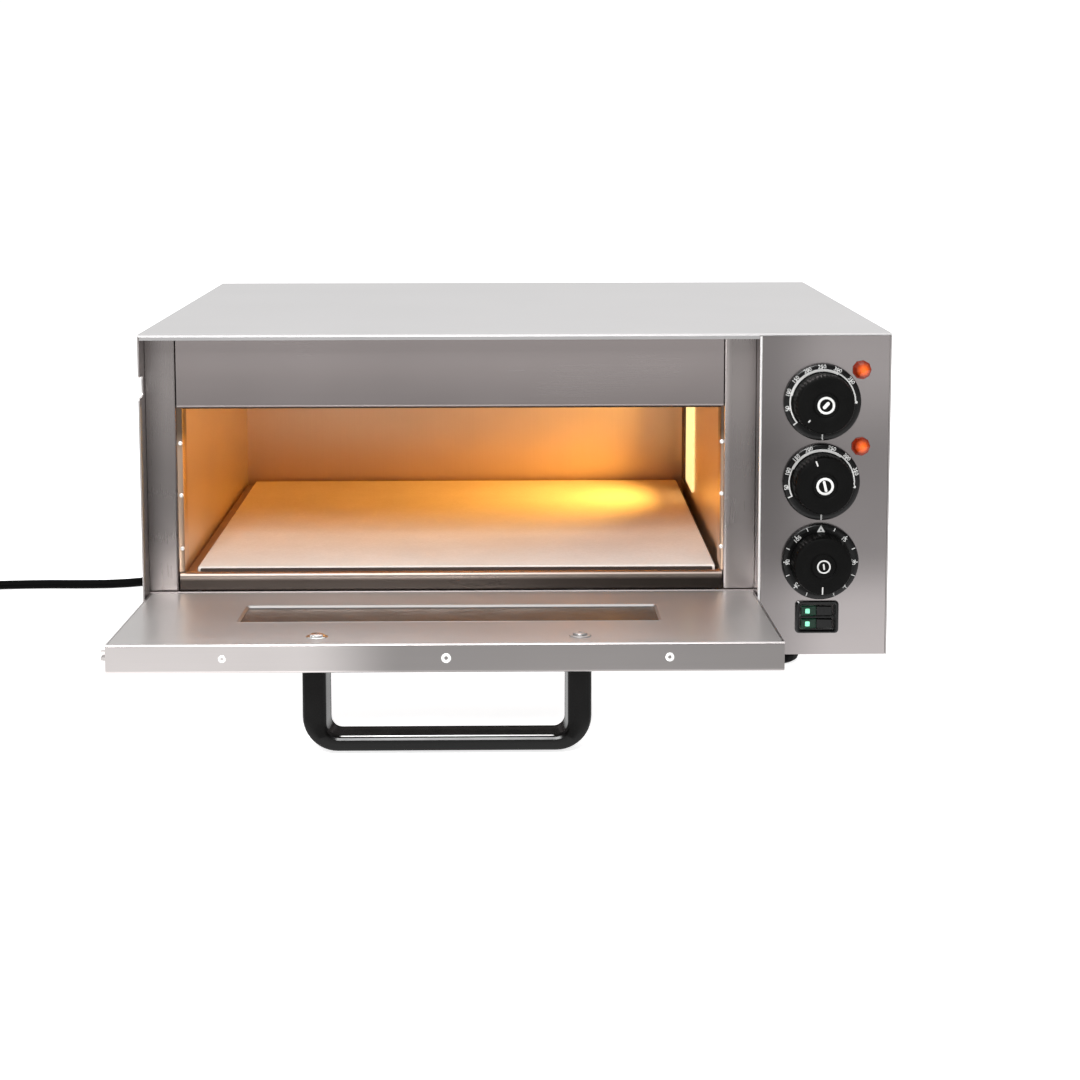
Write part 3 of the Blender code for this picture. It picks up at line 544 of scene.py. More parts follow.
def make_timer_scale(name, place, looks):
    """Arrow, ticks and minutes of the timer's dial."""
    face = RING_FACE - 0.12
    parts = [tick(26.6, 90 + 22.5 * step, 2.8, 0.7, face) for step in range(1, 16) if step != 8]
    arrow = band([(0.0, 25.6), (-0.9, 23.9), (0.9, 23.9)], [(0.0, 28.2), (-3.0, 22.9), (3.0, 22.9)],
                 face, face + 0.16)
    scale = add_piece(f"{name}_scale", turned_by(merge(arrow, *parts), place), looks["print"], "oven")
    for step in range(1, 8):
        if step == 4:
            continue
        number = write(str(15 * step), 4.3, place, looks["print"], f"{name}_number_{15 * step}", "oven",
                       90 - 45 * step, 24.6, RING_FACE - 0.02)


def make_knob_cap(name, replaced, body, height, looks, bar_turn, pointer, sign):
    """A fluted cap with a raised boss, a ring and bar on the boss, and its own pointer mark.

    The pointer is (radius, angle, length, width), the sign (inner and outer ring, bar's width and length)."""
    place = upright(spot(KNOB_X, 0.0, height))
    profile = [(0.0, 5.0), (21.0, 4.9), (22.4, 5.4), (CAP_R, 7.5), (22.3, 16.0), (21.9, 19.2), (20.9, 20.8),
               (19.4, 21.3), (14.0, 21.15), (10.3, 21.0), (9.5, 20.7), (9.1, 21.2), (8.6, 21.85),
               (7.9, CAP_FACE), (0.0, CAP_FACE - 0.05)]
    fluted = lathe(profile, 192, 48, 0.55, (3, 4, 5))
    cap = add_piece(name, turned_by(fluted, place), looks["knob"], body, 32.0)
    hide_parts(replaced)
    face = CAP_FACE - 0.1
    inside, outside, bar_wide, bar_long = sign
    ring = band(circle(inside), circle(outside), face, face + 0.1)
    bar = turned_by(slab(oblong(bar_wide, bar_long, bar_wide * 0.48, 4), face, face + 0.1),
                    Matrix.Rotation(math.radians(bar_turn), 4, "Z"))
    radius, angle, length, width = pointer
    mark = tick(radius, angle, length, width, 21.24)
    signs = add_piece(f"{name}_marks", turned_by(merge(ring, bar, mark), place), looks["print"], body)


def make_controls(looks):
    """Three dials with their scales and their knobs, from the top down."""
    heats = ("50", "100", "150", "200", "250", "300", "350")
    upper = make_dial_ring("dial_upper", "dial_ring_upper", KNOB_Z[0], looks)
    upper_angles = (190, 164, 140, 116, 92, 66, 38)
    make_heat_scale("dial_upper", upper, looks, 218.0, 0.0, list(zip(upper_angles, heats)))
    middle = make_dial_ring("dial_middle", "dial_ring_middle", KNOB_Z[1], looks)
    middle_angles = (188, 162, 136, 112, 74, 46, 18)
    make_heat_scale("dial_middle", middle, looks, 205.0, -8.0, list(zip(middle_angles, heats)))
    lower = make_dial_ring("dial_lower", "dial_ring_lower", KNOB_Z[2], looks)
    make_timer_scale("dial_lower", lower, looks)
    make_knob_cap("cap_upper", "knob_upper", "upper_knob", KNOB_Z[0], looks, -42.0,
                  (17.0, 224.0, 2.0, 1.1), (4.8, 6.5, 2.6, 6.4))
    make_knob_cap("cap_lower", "knob_lower", "lower_knob", KNOB_Z[1], looks, 14.0,
                  (17.9, 110.0, 4.0, 1.0), (4.7, 6.5, 1.9, 8.6))
    make_knob_cap("cap_timer", "knob_timer", "timer_knob", KNOB_Z[2], looks, 8.0,
                  (18.3, 268.0, 5.6, 0.9), (4.0, 5.1, 1.2, 4.6))


# ---------------- lenses and switch

def front_of(node):
    """A CAD node's width, height and reach past the panel's face in millimetres, and its place there."""
    low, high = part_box(node)
    middle = (low + high) / 2
    place = upright(Vector((middle.x, back(0.0), middle.z)))
    return (high.x - low.x) / MM, (high.z - low.z) / MM, (back(0.0) - low.y) / MM, place


def make_lenses(looks):
    """Orange indicator lenses with nine facets round a small flat top."""
    for name, node in (("lens_upper", "indicator_lamp_upper"), ("lens_lower", "indicator_lamp_lower")):
        wide, _, proud, place = front_of(node)
        radius = wide / 2
        profile = [(0.0, 0.0), (radius, 0.0), (radius, 0.9), (radius * 0.93, 1.3), (radius * 0.88, 1.4),
                   (radius * 0.62, proud * 0.72), (radius * 0.26, proud * 0.97), (0.0, proud * 0.97)]
        lens = add_piece(name, turned_by(lathe(profile, 9), place), looks["lens"], "oven", 12.0, 0.25)
        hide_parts(node)


def make_rocker_look(name, node, body, looks):
    """A rocker whose left half is clear dark green over its lamp, and whose right half is black."""
    wide, tall, front, place = front_of(node)
    for side, look, word in ((-1, "green", "lit"), (1, "switch", "dark")):
        inner = 0.15 * side
        outer = side * (wide / 2 - 0.5)
        shape = bmesh.new()
        rows = []
        for step in range(7):
            part = step / 6
            across = inner + (outer - inner) * part
            rise = front - 0.35 - (1.9 if side < 0 else 1.0) * (1 - part) ** 1.6
            rows.append([shape.verts.new((across * MM, up * MM, z * MM)) for up, z in
                         ((-tall / 2 + 0.3, -4.0), (-tall / 2 + 0.3, rise - 0.5), (-tall / 2 + 0.9, rise),
                          (tall / 2 - 0.9, rise), (tall / 2 - 0.3, rise - 0.5), (tall / 2 - 0.3, -4.0))])
        skin(shape, rows, capped=True)
        half = add_piece(f"{name}_{word}", turned_by(shape, place), looks[look], body, 30.0)
        if side < 0:
            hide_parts(node)
            window = slab(oblong(3.5, 3.7, 0.7, 4, (-wide / 4 - 0.9, 0.0)), front - 3.4, front - 0.45)
            lamp = add_piece(f"{name}_window", turned_by(window, place), looks["mint"], body, 30.0, 0.2)


def make_switch(looks):
    """A bevelled black frame, a bar between its two rockers, and the rockers."""
    wide, tall, front, place = front_of("switch_housing")
    steps = ((27.0, 20.4, 1.2, -6.0), (27.0, 20.4, 1.2, front - 0.6), (27.8, 21.2, 1.4, front - 0.15),
             (wide - 3.2, tall - 1.8, 2.2, front), (wide - 0.9, tall - 0.5, 2.6, front - 0.5),
             (wide - 0.1, tall - 0.1, 2.8, 0.9), (wide - 0.1, tall - 0.1, 2.8, 0.3), (26.0, 19.4, 1.2, 0.3))
    shape = bmesh.new()
    rows = [[shape.verts.new((x * MM, y * MM, z * MM)) for x, y in oblong(a, b, corner, 5)]
            for a, b, corner, z in steps]
    skin(shape, rows)
    divider = slab(oblong(26.6, 1.1, 0.3, 3), -6.0, front - 0.9)
    whole = turned_by(merge(shape, divider), place)
    housing = add_piece("switch_frame", whole, looks["switch"], "oven", 30.0)
    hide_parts("switch_housing")
    make_rocker_look("power_switch", "rocker_power", "power_rocker", looks)
    make_rocker_look("light_switch", "rocker_light", "light_rocker", looks)


# ---------------- door fittings

DOOR = Matrix.Translation(HINGE) @ Matrix.Rotation(DOOR_OPEN, 4, "X")
DOOR_HALF = 10.0
HANDLE_MID, HANDLE_S = -47.3, 159.0
WINDOW_X, WINDOW_S = (-198.0, 103.0), (46.0, 107.0)
DOOR_FREE = 182.0                   # the door's free edge, from the hinge


def on_door(x, n, s):
    """Place on the door in millimetres: x across it, n from mid-plane to the chamber, s from the hinge."""
    return DOOR @ Matrix.Translation((x * MM, n * MM, s * MM))


def make_handle(looks):
    """A bar handle: a section with two shallow outer grooves follows a U of changing thickness."""
    left, right = HANDLE_MID - 98.6, HANDLE_MID + 98.0
    near, far, leg, grip, deep = -DOOR_HALF - 0.3, -DOOR_HALF - 56.5, 16.5, 10.5, 26.5
    bend, inner_bend = 24.0, 9.0
    stations = []
    for side, edge in ((1, left), (-1, right)):
        run = [((edge, near), (edge + side * leg, near)),
               ((edge, far + bend), (edge + side * leg, far + grip + inner_bend))]
        for step in range(1, 13):
            turn = math.radians(90.0 * step / 12)
            along, past = 1 - math.cos(turn), 1 - math.sin(turn)
            outer = (edge + side * bend * along, far + bend * past)
            inner = (edge + side * (leg + inner_bend * along), far + grip + inner_bend * past)
            run.append((outer, inner))
        stations += run if side == 1 else run[::-1]
    half = deep / 2
    section = [(0.30, -half), (0.16, -half + 0.5), (0.05, -half + 1.8), (0.0, -half + 3.6), (0.0, -6.4),
               (0.05, -5.2), (0.05, -4.2), (0.0, -3.0), (0.0, 3.0), (0.05, 4.2), (0.05, 5.2), (0.0, 6.4),
               (0.0, half - 2.6), (0.03, half - 1.1), (0.10, half - 0.3), (0.22, half), (0.74, half),
               (0.88, half - 0.8), (0.97, half - 2.2), (1.0, half - 4.0), (1.04, -half + 4.0),
               (1.08, -half + 1.4), (1.04, -half + 0.4), (0.90, -half)]
    shape = bmesh.new()
    rows = []
    for outer, inner in stations:
        row = []
        for part, rise in section:
            x = outer[0] + (inner[0] - outer[0]) * part
            n = outer[1] + (inner[1] - outer[1]) * part
            row.append(shape.verts.new(DOOR @ (Vector((x, n, HANDLE_S + rise)) * MM)))
        rows.append(row)
    skin(shape, rows, capped=True)
    handle = add_piece("handle_bar", shape, looks["handle"], "door", 24.0)
    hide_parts("door_handle")
    # Painted highlight: a thin pale strip along the grip's upper front edge.
    highlight_strip = lathe([(0.0, left + 25.0), (0.45, left + 26.5), (0.45, right - 26.5), (0.0, right - 25.0)], 12)
    lengthwise = Matrix.Rotation(math.radians(90.0), 4, "Y")
    place = on_door(0.0, far + grip + 0.1, HANDLE_S + half - 0.6) @ lengthwise
    trim = add_piece("handle_highlight_strip", turned_by(highlight_strip, place), looks["polish"], "door", 40.0)


def countersunk(radius):
    """A flush screw with a deep round recess in its middle."""
    return lathe([(0.0, -1.6), (radius * 0.34, -1.5), (radius * 0.40, 0.0), (radius * 0.50, 0.08),
                  (radius * 0.95, 0.08), (radius, 0.0), (radius * 0.6, -2.4), (0.0, -2.4)], 28)


def pan_head(radius, tall):
    """A domed screw head with a dimple in its middle."""
    return lathe([(0.0, -1.0), (radius * 0.6, -1.0), (radius * 0.6, 0.0), (radius, 0.0),
                  (radius * 0.98, tall * 0.35), (radius * 0.80, tall * 0.82), (radius * 0.5, tall),
                  (radius * 0.28, tall * 0.92), (0.0, tall * 0.30)], 24)


def make_door_fittings(looks):
    """The free edge's three screws, the handle's bolts inside the door and the window's trim."""
    heads = ((-198.5, 2.6), (-47.8, 3.3), (103.0, 3.0))
    edge = [turned_by(countersunk(radius), on_door(x, 0.0, DOOR_FREE)) for x, radius in heads]
    screws = add_piece("door_edge_screws", merge(*edge), looks["zinc"], "door", 30.0)
    # Painted shade: black discs deep in the edge screws' recesses.
    holes = [turned_by(slab(circle(radius * 0.35, 24), -1.55, -0.5), on_door(x, 0.0, DOOR_FREE))
             for x, radius in heads]
    sockets = add_piece("door_edge_sockets", merge(*holes), looks["gasket"], "door", 30.0)
    inward = Matrix.Rotation(math.radians(-90.0), 4, "X")
    # Lit and shaded copies of one bolt: the left bolt and washer in bright steel as a painted highlight, the
    # right ones in the door's steel.
    for name, x, look in (("left", HANDLE_MID - 89.25, "bright"), ("right", HANDLE_MID + 90.55, "door")):
        place = on_door(x, DOOR_HALF, HANDLE_S) @ inward
        washer = lathe([(0.0, 0.05), (7.6, 0.05), (7.6, 0.35), (7.1, 0.75), (5.4, 0.85), (0.0, 0.85)], 40)
        plate = add_piece(f"handle_washer_{name}", turned_by(washer, place), looks[look], "door", 30.0)
        head = lathe([(0.0, 0.3), (5.0, 0.3), (5.0, 1.4), (4.4, 2.2), (3.0, 2.6), (1.5, 2.6), (1.3, 1.2),
                      (0.0, 1.1)], 32)
        cap = add_piece(f"handle_bolt_{name}", turned_by(head, place), looks[look], "door", 30.0)
        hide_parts(f"handle_screw_{name}")
    wide, tall = WINDOW_X[1] - WINDOW_X[0], WINDOW_S[1] - WINDOW_S[0]
    middle = ((WINDOW_X[0] + WINDOW_X[1]) / 2, (WINDOW_S[0] + WINDOW_S[1]) / 2)
    rows = ((wide - 3.4, tall - 3.4, 1.5, 8.62), (wide - 0.3, tall - 0.3, 2.2, 10.02),
            (wide + 1.6, tall + 1.6, 2.6, 10.12), (wide + 1.8, tall + 1.8, 2.6, 10.0),
            (wide - 0.6, tall - 0.6, 2.0, 9.4), (wide - 3.4, tall - 3.4, 1.5, 8.4))
    shape = bmesh.new()
    rings = [[shape.verts.new(DOOR @ (Vector((x, n, s)) * MM)) for x, s in oblong(a, b, corner, 4, middle)]
             for a, b, corner, n in rows]
    skin(shape, rings, looped=True)
    trim = add_piece("window_trim", shape, looks["door"], "door", 30.0)


# ---------------- front frame

def strip(name, outline, low, high, look, angle=35.0, bevel=0.0):
    """An outline of (x, depth) points in millimetres, extruded in Z."""
    points = [spot(x, depth, low) for x, depth in outline]
    return add_piece(name, raised(points, high - low), look, "oven", angle, bevel)


def make_catches(looks):
    """Catches on the free end's sides: a round plunger split in two, so that it shows as a pair of bars."""
    for name, edge, side, out in (("left", -277.0, -1, 5.0), ("right", 180.6, 1, 1.1)):
        halves = []
        for up in (-1, 1):
            turns = [math.pi * step / 10 for step in range(11)]
            outline = [(3.3 * math.cos(turn), up * (3.3 * math.sin(turn) + 0.55)) for turn in turns]
            halves.append(slab(outline if up > 0 else outline[::-1], -2.0, out))
        place = on_door(edge, 0.0, 168.0) @ Matrix.Rotation(math.radians(90.0 * side), 4, "Y")
        plunger = add_piece(f"catch_plunger_{name}", turned_by(merge(*halves), place), looks["side"],
                            "door", 30.0, 0.2)
        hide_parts(f"catch_pin_{name}")


def make_mouth(looks):
    """Round the mouth: folded flanges with screws, a dark gasket, strips round the stone and a lamp shade;
    the gasket's top line, the bar before the stone and the strip beside it are painted shade.
    """
    for name, edge, side, wide in (("left", -256.0, 1, 4.4), ("right", 158.0, -1, 2.4)):
        section = ((-2.0, 26.4), (wide - 1.2, 26.4), (wide - 0.3, 26.8), (wide, 27.8), (wide, 46.0),
                   (wide - 1.0, 46.0), (wide - 1.0, 28.0), (-2.0, 27.6))
        outline = [(edge + side * reach, depth) for reach, depth in section]
        flange = strip(f"mouth_flange_{name}", outline, 87.0, 214.5, looks["flange"])
        heads = [turned_by(pan_head(1.7, 1.1), upright(spot(edge + side * (wide * 0.5 + 0.3), 26.4, z)))
                 for z in (186.0, 146.0, 105.0)]
        screws = add_piece(f"mouth_screws_{name}", merge(*heads), looks["zinc"], "oven", 30.0)
    # Partly painted shade: the gasket's inner edge shows as a thin dark line under the fascia.
    inner = oblong(414.6, 126.2, 2.0, 4, (-49.0, 149.0))
    outer = oblong(440.0, 158.0, 3.0, 4, (-49.0, 157.0))
    seal = turned_by(band(inner, outer, -30.6, -27.9), upright(spot(0.0, 0.0, 0.0)))
    gasket = add_piece("mouth_gasket", seal, looks["gasket"], "oven", 35.0, 0.3)
    # Painted shade: a near-black bar in front of the stone.
    stop = strip("stone_stop", [(-241.0, 30.8), (150.6, 30.8), (150.6, 33.4), (-241.0, 33.4)], 75.2, 88.3,
                 looks["stop"], bevel=0.6)
    # A brown ledge left of the stone, and on the right a dark strip deep in the groove as painted shade.
    for name, left, right, top, look in (("stone_ledge", -251.4, -244.0, 85.6, "ledge"),
                                         ("stone_gap", 153.7, 157.6, 80.0, "stop")):
        outline = [(left, 34.0), (right, 34.0), (right, 421.0), (left, 421.0)]
        ledge = strip(name, outline, 74.3, top, looks[look])
    facing_chamber = Matrix(((0, 0, 1, 0), (1, 0, 0, back(0.0)), (0, 1, 0, 0), (0, 0, 0, 1)))
    shade = turned_by(slab(oblong(34.0, 97.0, 2.0, 4, (381.5, 144.0)), 156.4, 157.3), facing_chamber)
    cover = add_piece("lamp_cover_bracket", shade, looks["stop"], "oven", 35.0, 0.2)
    rim = [(182.8 + x, 0.35 + y) for x, y in circle(0.95, 20)]
    roll = strip("panel_rolled_edge", rim, FOOT_TOP + 1.0, 268.8, looks["polish"], angle=60.0)


def flush_screw(radius):
    """A flush countersunk screw with a cross recess: its head, and its recess as a flat black cross of
    painted shade.
    """
    head = lathe([(0.0, 0.02), (radius * 0.7, 0.06), (radius * 0.93, 0.02), (radius, -0.25),
                  (0.0, -0.25)], 24)
    cross = merge(slab(oblong(radius * 1.15, radius * 0.26, 0.1, 3), -0.1, 0.07),
                  slab(oblong(radius * 0.26, radius * 1.15, 0.1, 3), -0.1, 0.07))
    return head, cross


def make_casing_details(looks):
    """Screws round the sides and back, and rolled rims round the cooling slots."""
    turn = math.radians(90.0)
    outward = {"right": Matrix.Rotation(turn, 4, "Y"), "left": Matrix.Rotation(-turn, 4, "Y"),
               "back": Matrix.Rotation(-turn, 4, "X")}
    places = {
        "right": [(279.9, depth, z) for depth in (16.0, 172.0, 330.0, 476.0) for z in (38.0, 256.0)],
        "left": [(-280.0, depth, z) for depth in (172.0, 330.0, 476.0) for z in (38.0, 256.0)],
        "back": [(x, DEPTH, z) for x in (-262.0, -88.0, 88.0, 262.0) for z in (40.0, 257.0)],
    }
    for side, spots in places.items():
        heads, crosses = [], []
        for number, (x, depth, z) in enumerate(spots):
            turned = Matrix.Rotation(0.7 * number, 4, "Z")
            place = Matrix.Translation(spot(x, depth, z)) @ outward[side] @ turned
            head, cross = flush_screw(3.6)
            heads.append(turned_by(head, place))
            crosses.append(turned_by(cross, place))
        screws = add_piece(f"{side}_screws", merge(*heads), looks["zinc"], "oven", 30.0)
        # The recesses are painted shade: flat black crosses on the heads.
        recesses = add_piece(f"{side}_screw_recesses", merge(*crosses), looks["gasket"], "oven", 30.0)
    rims = []
    for row in range(2):
        for number in range(9):
            middle = spot(279.9, 302.5 + 16.0 * number, 94.0 + 70.0 * row)
            rim = band(oblong(48.0, 5.0, 2.2, 5), oblong(50.4, 7.4, 3.2, 5), -0.4, 0.06)
            rims.append(turned_by(rim, Matrix.Translation(middle) @ outward["right"]))
    side_rims = add_piece("side_slot_rims", merge(*rims), looks["side"], "oven", 30.0)
    rims = []
    for number in range(7):
        middle = spot(198.5 + 11.0 * number, DEPTH, 180.0)
        rim = band(oblong(5.0, 60.0, 2.2, 5), oblong(7.4, 62.4, 3.2, 5), -0.4, 0.5)
        rims.append(turned_by(rim, Matrix.Translation(middle) @ outward["back"]))
    back_rims = add_piece("back_slot_rims", merge(*rims), looks["side"], "oven", 30.0)
    nut = [(0.0, 0.0), (14.0, 0.0), (14.0, 5.2), (13.2, 6.0), (0.0, 6.0)]
    collar = turned_by(lathe(nut, 6), Matrix.Translation(spot(-200.0, DEPTH + 0.2, 60.0)) @ outward["back"])
    locknut = add_piece("gland_locknut", collar, looks["rubber"], "oven", 20.0, 0.4)


def face_look(node, direction, look):
    """A second finish on a CAD node's faces that look this way."""
    piece = nodes[node]
    piece.data.materials.append(look)
    number = len(piece.data.materials) - 1
    wanted = Vector(direction).normalized()
    for face in piece.data.polygons:
        if face.normal.dot(wanted) > 0.8:
            face.material_index = number


# ---------------- cord

# Points of (x, depth, z) from the gland, down behind the oven and forward beside it to the coil
CORD_ROUTE = ((-200, 518.4, 60), (-200, 528, 60), (-200, 539.3, 58.2), (-200, 549.5, 52.9),
              (-200, 557.5, 44.6), (-200, 565, 34), (-202.7, 572.9, 22.7), (-210.5, 579.6, 13.2),
              (-222.2, 584.1, 6.8), (-236, 585.7, 4.5), (-250, 585.7, 4.5), (-273, 581, 4.5),
              (-292.4, 568, 4.5), (-305.4, 548.6, 4.5),
              (-310, 525, 4.5), (-311, 492, 4.5), (-312, 452, 4.5), (-315, 418, 4.5), (-324, 389, 4.5),
              (-343, 370.5, 4.5), (-368, 362, 4.5), (-395, 360.3, 4.5), (-430, 361, 4.5),
              (-465, 359, 4.5), (-490.5, 355.9, 4.5))
COIL_AT = (-522.0, 306.0)
OUTER, INNER = 47.7, 39.1
LOW_LAYER, HIGH_LAYER = 4.6, 13.05
PLUG_Z = 18.9
# Turning angle, radius and height along the coil; between two rows each value eases to the next
COIL_STEPS = ((90, OUTER, LOW_LAYER), (345, OUTER, LOW_LAYER), (465, INNER, LOW_LAYER),
              (640, INNER, LOW_LAYER), (760, INNER, HIGH_LAYER), (960, INNER, HIGH_LAYER),
              (1080, OUTER, HIGH_LAYER), (1180, OUTER, HIGH_LAYER), (1260, OUTER, 16.2))


def ease(part):
    """A 0 to 1 part with an eased start and end."""
    return part * part * (3 - 2 * part)


def curve_through(points, parts):
    """Points on a smooth curve through the given ones."""
    found = []
    padded = [points[0] * 2 - points[1]] + points + [points[-1] * 2 - points[-2]]
    for before, start, end, after in zip(padded, padded[1:], padded[2:], padded[3:]):
        for step in range(parts):
            t = step / parts
            found.append((start * 2 + (end - before) * t
                          + (before * 2 - start * 5 + end * 4 - after) * t * t
                          + (start * 3 - before - end * 3 + after) * t ** 3) * 0.5)
    found.append(points[-1])
    return found


def cord_points():
    """The cord's middle line in metres: its route, the coil's turns and the tail into the plug."""
    route = [Vector((x, y, z)) for x, y, z in CORD_ROUTE]
    coil = []
    for first, second in zip(COIL_STEPS, COIL_STEPS[1:]):
        count = max(4, round((second[0] - first[0]) / 10))
        for step in range(count):
            part = step / count
            soft = ease(part)
            turn = math.radians(first[0] + (second[0] - first[0]) * part)
            radius = first[1] + (second[1] - first[1]) * soft
            height = first[2] + (second[2] - first[2]) * soft
            coil.append(Vector((COIL_AT[0] + radius * math.cos(turn), COIL_AT[1] + radius * math.sin(turn),
                                height)))
    tail = [Vector((-569.7, 306.0, 16.2)), Vector((-569.8, 292.0, 18.2)), Vector((-569.8, 276.6, PLUG_Z))]
    found = curve_through(route, 8)[:-1] + curve_through([route[-1]] + coil + tail, 2)
    return [Vector((p.x * MM, back(p.y), p.z * MM)) for p in found]


def make_cord(look):
    """The mains cord as one round curve."""
    points = cord_points()
    line = bpy.data.curves.new("mains_cord", "CURVE")
    line.dimensions = "3D"
    line.bevel_depth = 4.1 * MM
    line.bevel_resolution = 4
    line.use_fill_caps = True
    run = line.splines.new("POLY")
    run.points.add(len(points) - 1)
    for knot, point in zip(run.points, points):
        knot.co = (*point, 1.0)
    run.use_smooth = True
    cord = linked("mains_cord", line)
    line.materials.append(look)
    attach(cord, "oven")
    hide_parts("cord_run", "cord_coil")


# ---------------- stage

def make_stage():
    """A pale floor that runs out to the horizon and gives back a little light of its own."""
    shape = bmesh.new()
    bmesh.ops.create_grid(shape, x_segments=1, y_segments=1, size=30.0)
    mesh = bpy.data.meshes.new("floor")
    shape.to_mesh(mesh)
    shape.free()
    floor = linked("floor", mesh)
    made, tree, shader = shader_of("floor")
    broad = add_noise(tree, (0.8, 0.8, 0.8), 2.0)
    tree.links.new(tint(tree, broad, (0.91, 0.91, 0.91), (0.93, 0.93, 0.93)), shader.inputs["Base Color"])
    shader.inputs["Emission Strength"].default_value = FLOOR_GLOW
    shader.inputs["Emission Color"].default_value = (1.0, 1.0, 1.0, 1.0)
    shader.inputs["Roughness"].default_value = 0.95
    shader.inputs["Specular IOR Level"].default_value = 0.0
    mesh.materials.append(made)
    floor.visible_glossy = False


def make_world():
    """A white studio, dark only low down in front of the object, where the steel face mirrors it."""
    world = bpy.data.worlds.new("studio")
    bpy.context.scene.world = world
    world.use_nodes = True
    tree = world.node_tree
    where = tree.nodes.new("ShaderNodeTexCoord")
    parts = tree.nodes.new("ShaderNodeSeparateXYZ")
    tree.links.new(where.outputs["Generated"], parts.inputs["Vector"])
    around = ramp_of(tree, parts.outputs["Y"], -0.35, 0.45, DARK_FRONT, 1.04)
    above = ramp_of(tree, parts.outputs["Z"], 0.30, 0.95, 0.0, 0.95)
    near = ramp_of(tree, parts.outputs["Z"], -0.33, -0.17, 1.30, 0.46)
    fall = ramp_of(tree, parts.outputs["Z"], 0.0, 0.20, 1.0, 0.0)
    below = mix_values(tree, near, fall)
    total = mix_values(tree, mix_values(tree, around, above, "MAXIMUM"), below, "MAXIMUM")
    tree.links.new(total, tree.nodes["Background"].inputs["Strength"])
    tree.nodes["Background"].inputs["Color"].default_value = (1.0, 1.0, 1.0, 1.0)


def area_light(name, place, aim, size, power):
    """A square white light aimed at a point."""
    data = bpy.data.lights.new(name, "AREA")
    data.size = size
    data.energy = power
    lamp = linked(name, data)
    lamp.location = place
    lamp.rotation_euler = (Vector(aim) - Vector(place)).to_track_quat("-Z", "Y").to_euler()


def make_lights():
    """Soft studio lights, and the oven's own lamp just in front of its cover."""
    area_light("overhead", (0.2, 0.1, 2.2), (0.0, 0.0, 0.1), 2.4, 16.0)
    area_light("front_high", (-0.3, -2.3, 1.65), (0.0, 0.0, 0.1), 0.8, 52.0)
    area_light("left_strip", (-2.2, -1.5, 0.5), (0.1, -0.1, 0.15), 0.5, 7.0)
    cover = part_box("lamp_glass")
    glow = bpy.data.lights.new("chamber_lamp", "AREA")
    glow.shape = "RECTANGLE"
    glow.size = 0.060
    glow.size_y = cover[1].y - cover[0].y
    glow.energy = 0.50
    glow.spread = math.radians(135.0)
    glow.color = (1.0, 0.58, 0.115)
    lamp = linked("chamber_lamp", glow)
    middle = (cover[0] + cover[1]) / 2
    lamp.location = (cover[0].x - 0.006, middle.y - 0.012, middle.z + 0.012)
    lamp.rotation_euler = (0.0, math.radians(90.0), 0.0)
    lamp.visible_camera = False


# ---------------- finish of the CAD nodes

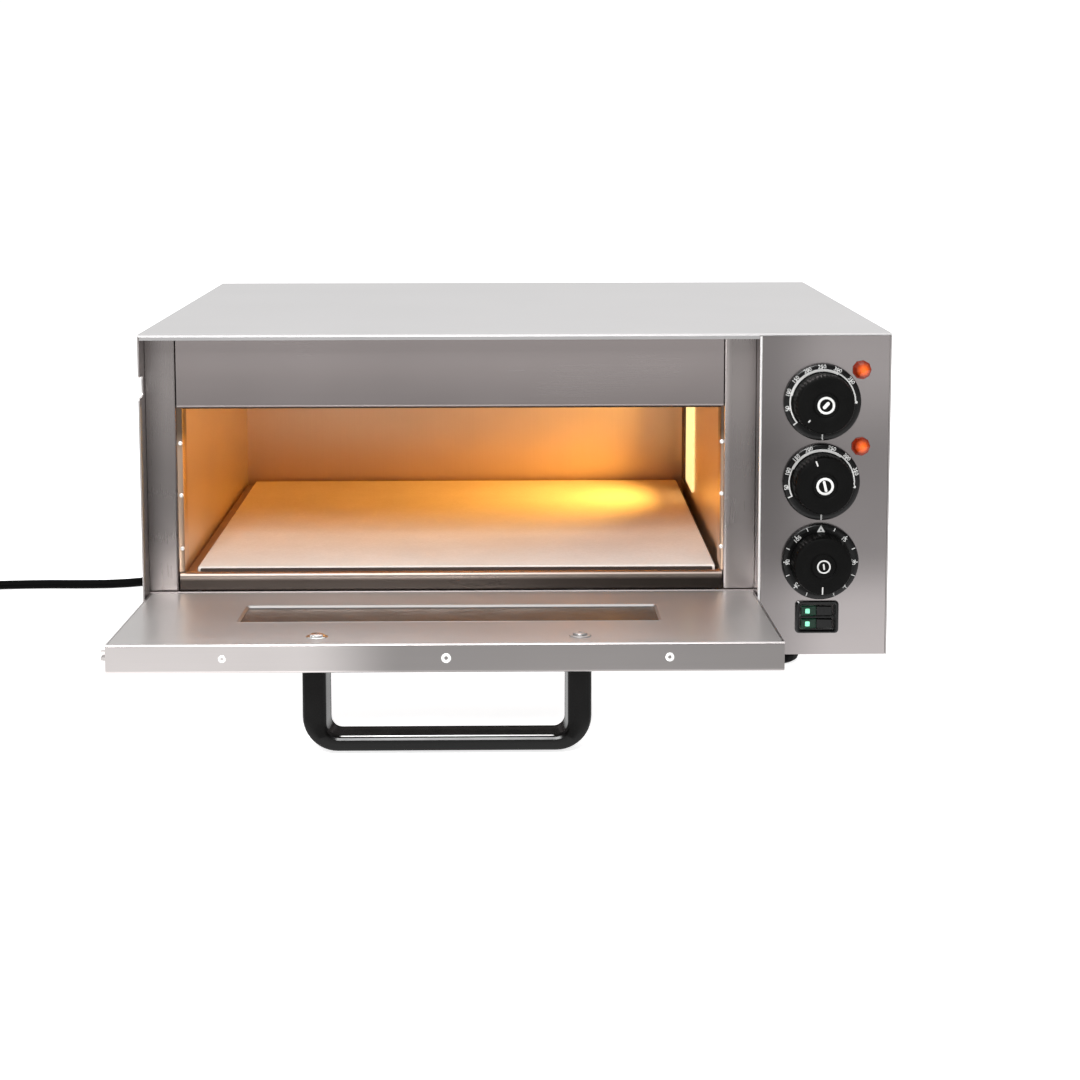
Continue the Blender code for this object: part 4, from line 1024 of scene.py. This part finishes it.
def dress_nodes(looks):
    """Each CAD node's finish, with the radius of its rounded edges in millimetres."""
    plan = (
        ("top", 0.25, ("top_cover",)),
        ("face", 0.3, ("fascia_panel", "lower_front_rail")),
        ("panel", 0.3, ("control_panel",)),
        ("sill", 0.3, ("door_sill",)),
        ("upright", 0.3, ("left_pillar",)),
        ("upright_right", 0.3, ("right_pillar",)),
        ("side", 0.3, ("left_side_panel", "right_side_panel", "back_panel", "base_pan", "control_bay_wall")),
        ("door", 0.3, ("door_inner_panel",)),
        ("door_outer", 0.3, ("door_outer_shell",)),
        ("chamber", 0.0, ("chamber_liner",)),
        ("bright", 0.0, ("hinge_pin_left", "hinge_pin_right", "handle_screw_left", "handle_screw_right")),
        ("knob", 0.0, ("knob_upper", "knob_lower", "knob_timer")),
        ("dial", 0.0, ("dial_ring_upper", "dial_ring_middle", "dial_ring_lower", "switch_housing",
                       "rocker_power", "rocker_light")),
        ("handle", 0.0, ("door_handle",)),
        ("rubber", 0.0, ("foot_1", "foot_2", "foot_3", "foot_4", "cable_gland", "plug")),
        ("cream", 0.0, ("thermostat_upper", "thermostat_lower", "timer", "terminal_block", "lamp_holder")),
        ("wool", 0.0, ("insulation_left", "insulation_right", "insulation_top", "insulation_back",
                       "insulation_bottom", "door_insulation")),
        ("sheath", 0.0, ("upper_heater_front", "upper_heater_rear", "lower_heater")),
        ("stone", 0.0, ("baking_stone",)),
        ("pane", 0.0, ("door_glass_inner", "door_glass_outer")),
        ("clear", 0.0, ("lamp_glass",)),
        ("bulb", 0.0, ("lamp_bulb",)),
        ("lens", 0.0, ("indicator_lamp_upper", "indicator_lamp_lower")),
    )
    for look, bevel, members in plan:
        for node in members:
            paint(node, looks[look], bevel)
    # Painted shade: the stone's right side dark.
    face_look("baking_stone", (1.0, 0.0, 0.0), looks["stop"])
    # Painted shade: the fascia's underside dark.
    face_look("fascia_panel", (0.0, 0.0, -1.0), looks["stop"])
    # Painted highlight: the door's free edge pale, lighter toward the left.
    face_look("door_outer_shell", DOOR.to_3x3() @ Vector((0.0, 0.0, 1.0)), looks["door_edge"])


def main():
    bpy.context.scene.view_settings.view_transform = "Standard"
    make_camera()
    looks = make_materials()
    looks["stone"] = make_stone_material()
    looks["pane"] = moulded("tinted_pane", (0.040, 0.034, 0.031), 0.20, 200.0, 0.0, specular=0.12)
    looks["clear"] = glowing("lamp_cover_glass", (1.0, 0.78, 0.36), 1.15, 0.15)
    looks["bulb"] = glowing("lamp_glow", (1.0, 0.72, 0.35), 2.0)
    looks["lens"] = glowing("orange_lens", (0.84, 0.12, 0.014), 0.14, 0.1, (0.16, 0.014, 0.004))
    looks["print"] = moulded("white_print", (0.52, 0.52, 0.51), 0.55, 1500.0, 0.02)
    looks["green"] = glowing("dark_green_lens", (0.002, 0.020, 0.010), 0.18, 0.14)
    looks["mint"] = glowing("mint_window", (0.22, 0.72, 0.46), 0.50, 0.25)
    looks["switch"] = moulded("switch_black", (0.0025, 0.0025, 0.0025), 0.16, 1500.0, 0.01)
    make_cord(looks["rubber"])
    make_controls(looks)
    make_lenses(looks)
    make_switch(looks)
    make_handle(looks)
    make_door_fittings(looks)
    make_catches(looks)
    make_mouth(looks)
    make_casing_details(looks)
    dress_nodes(looks)
    make_stage()
    make_world()
    make_lights()


main()
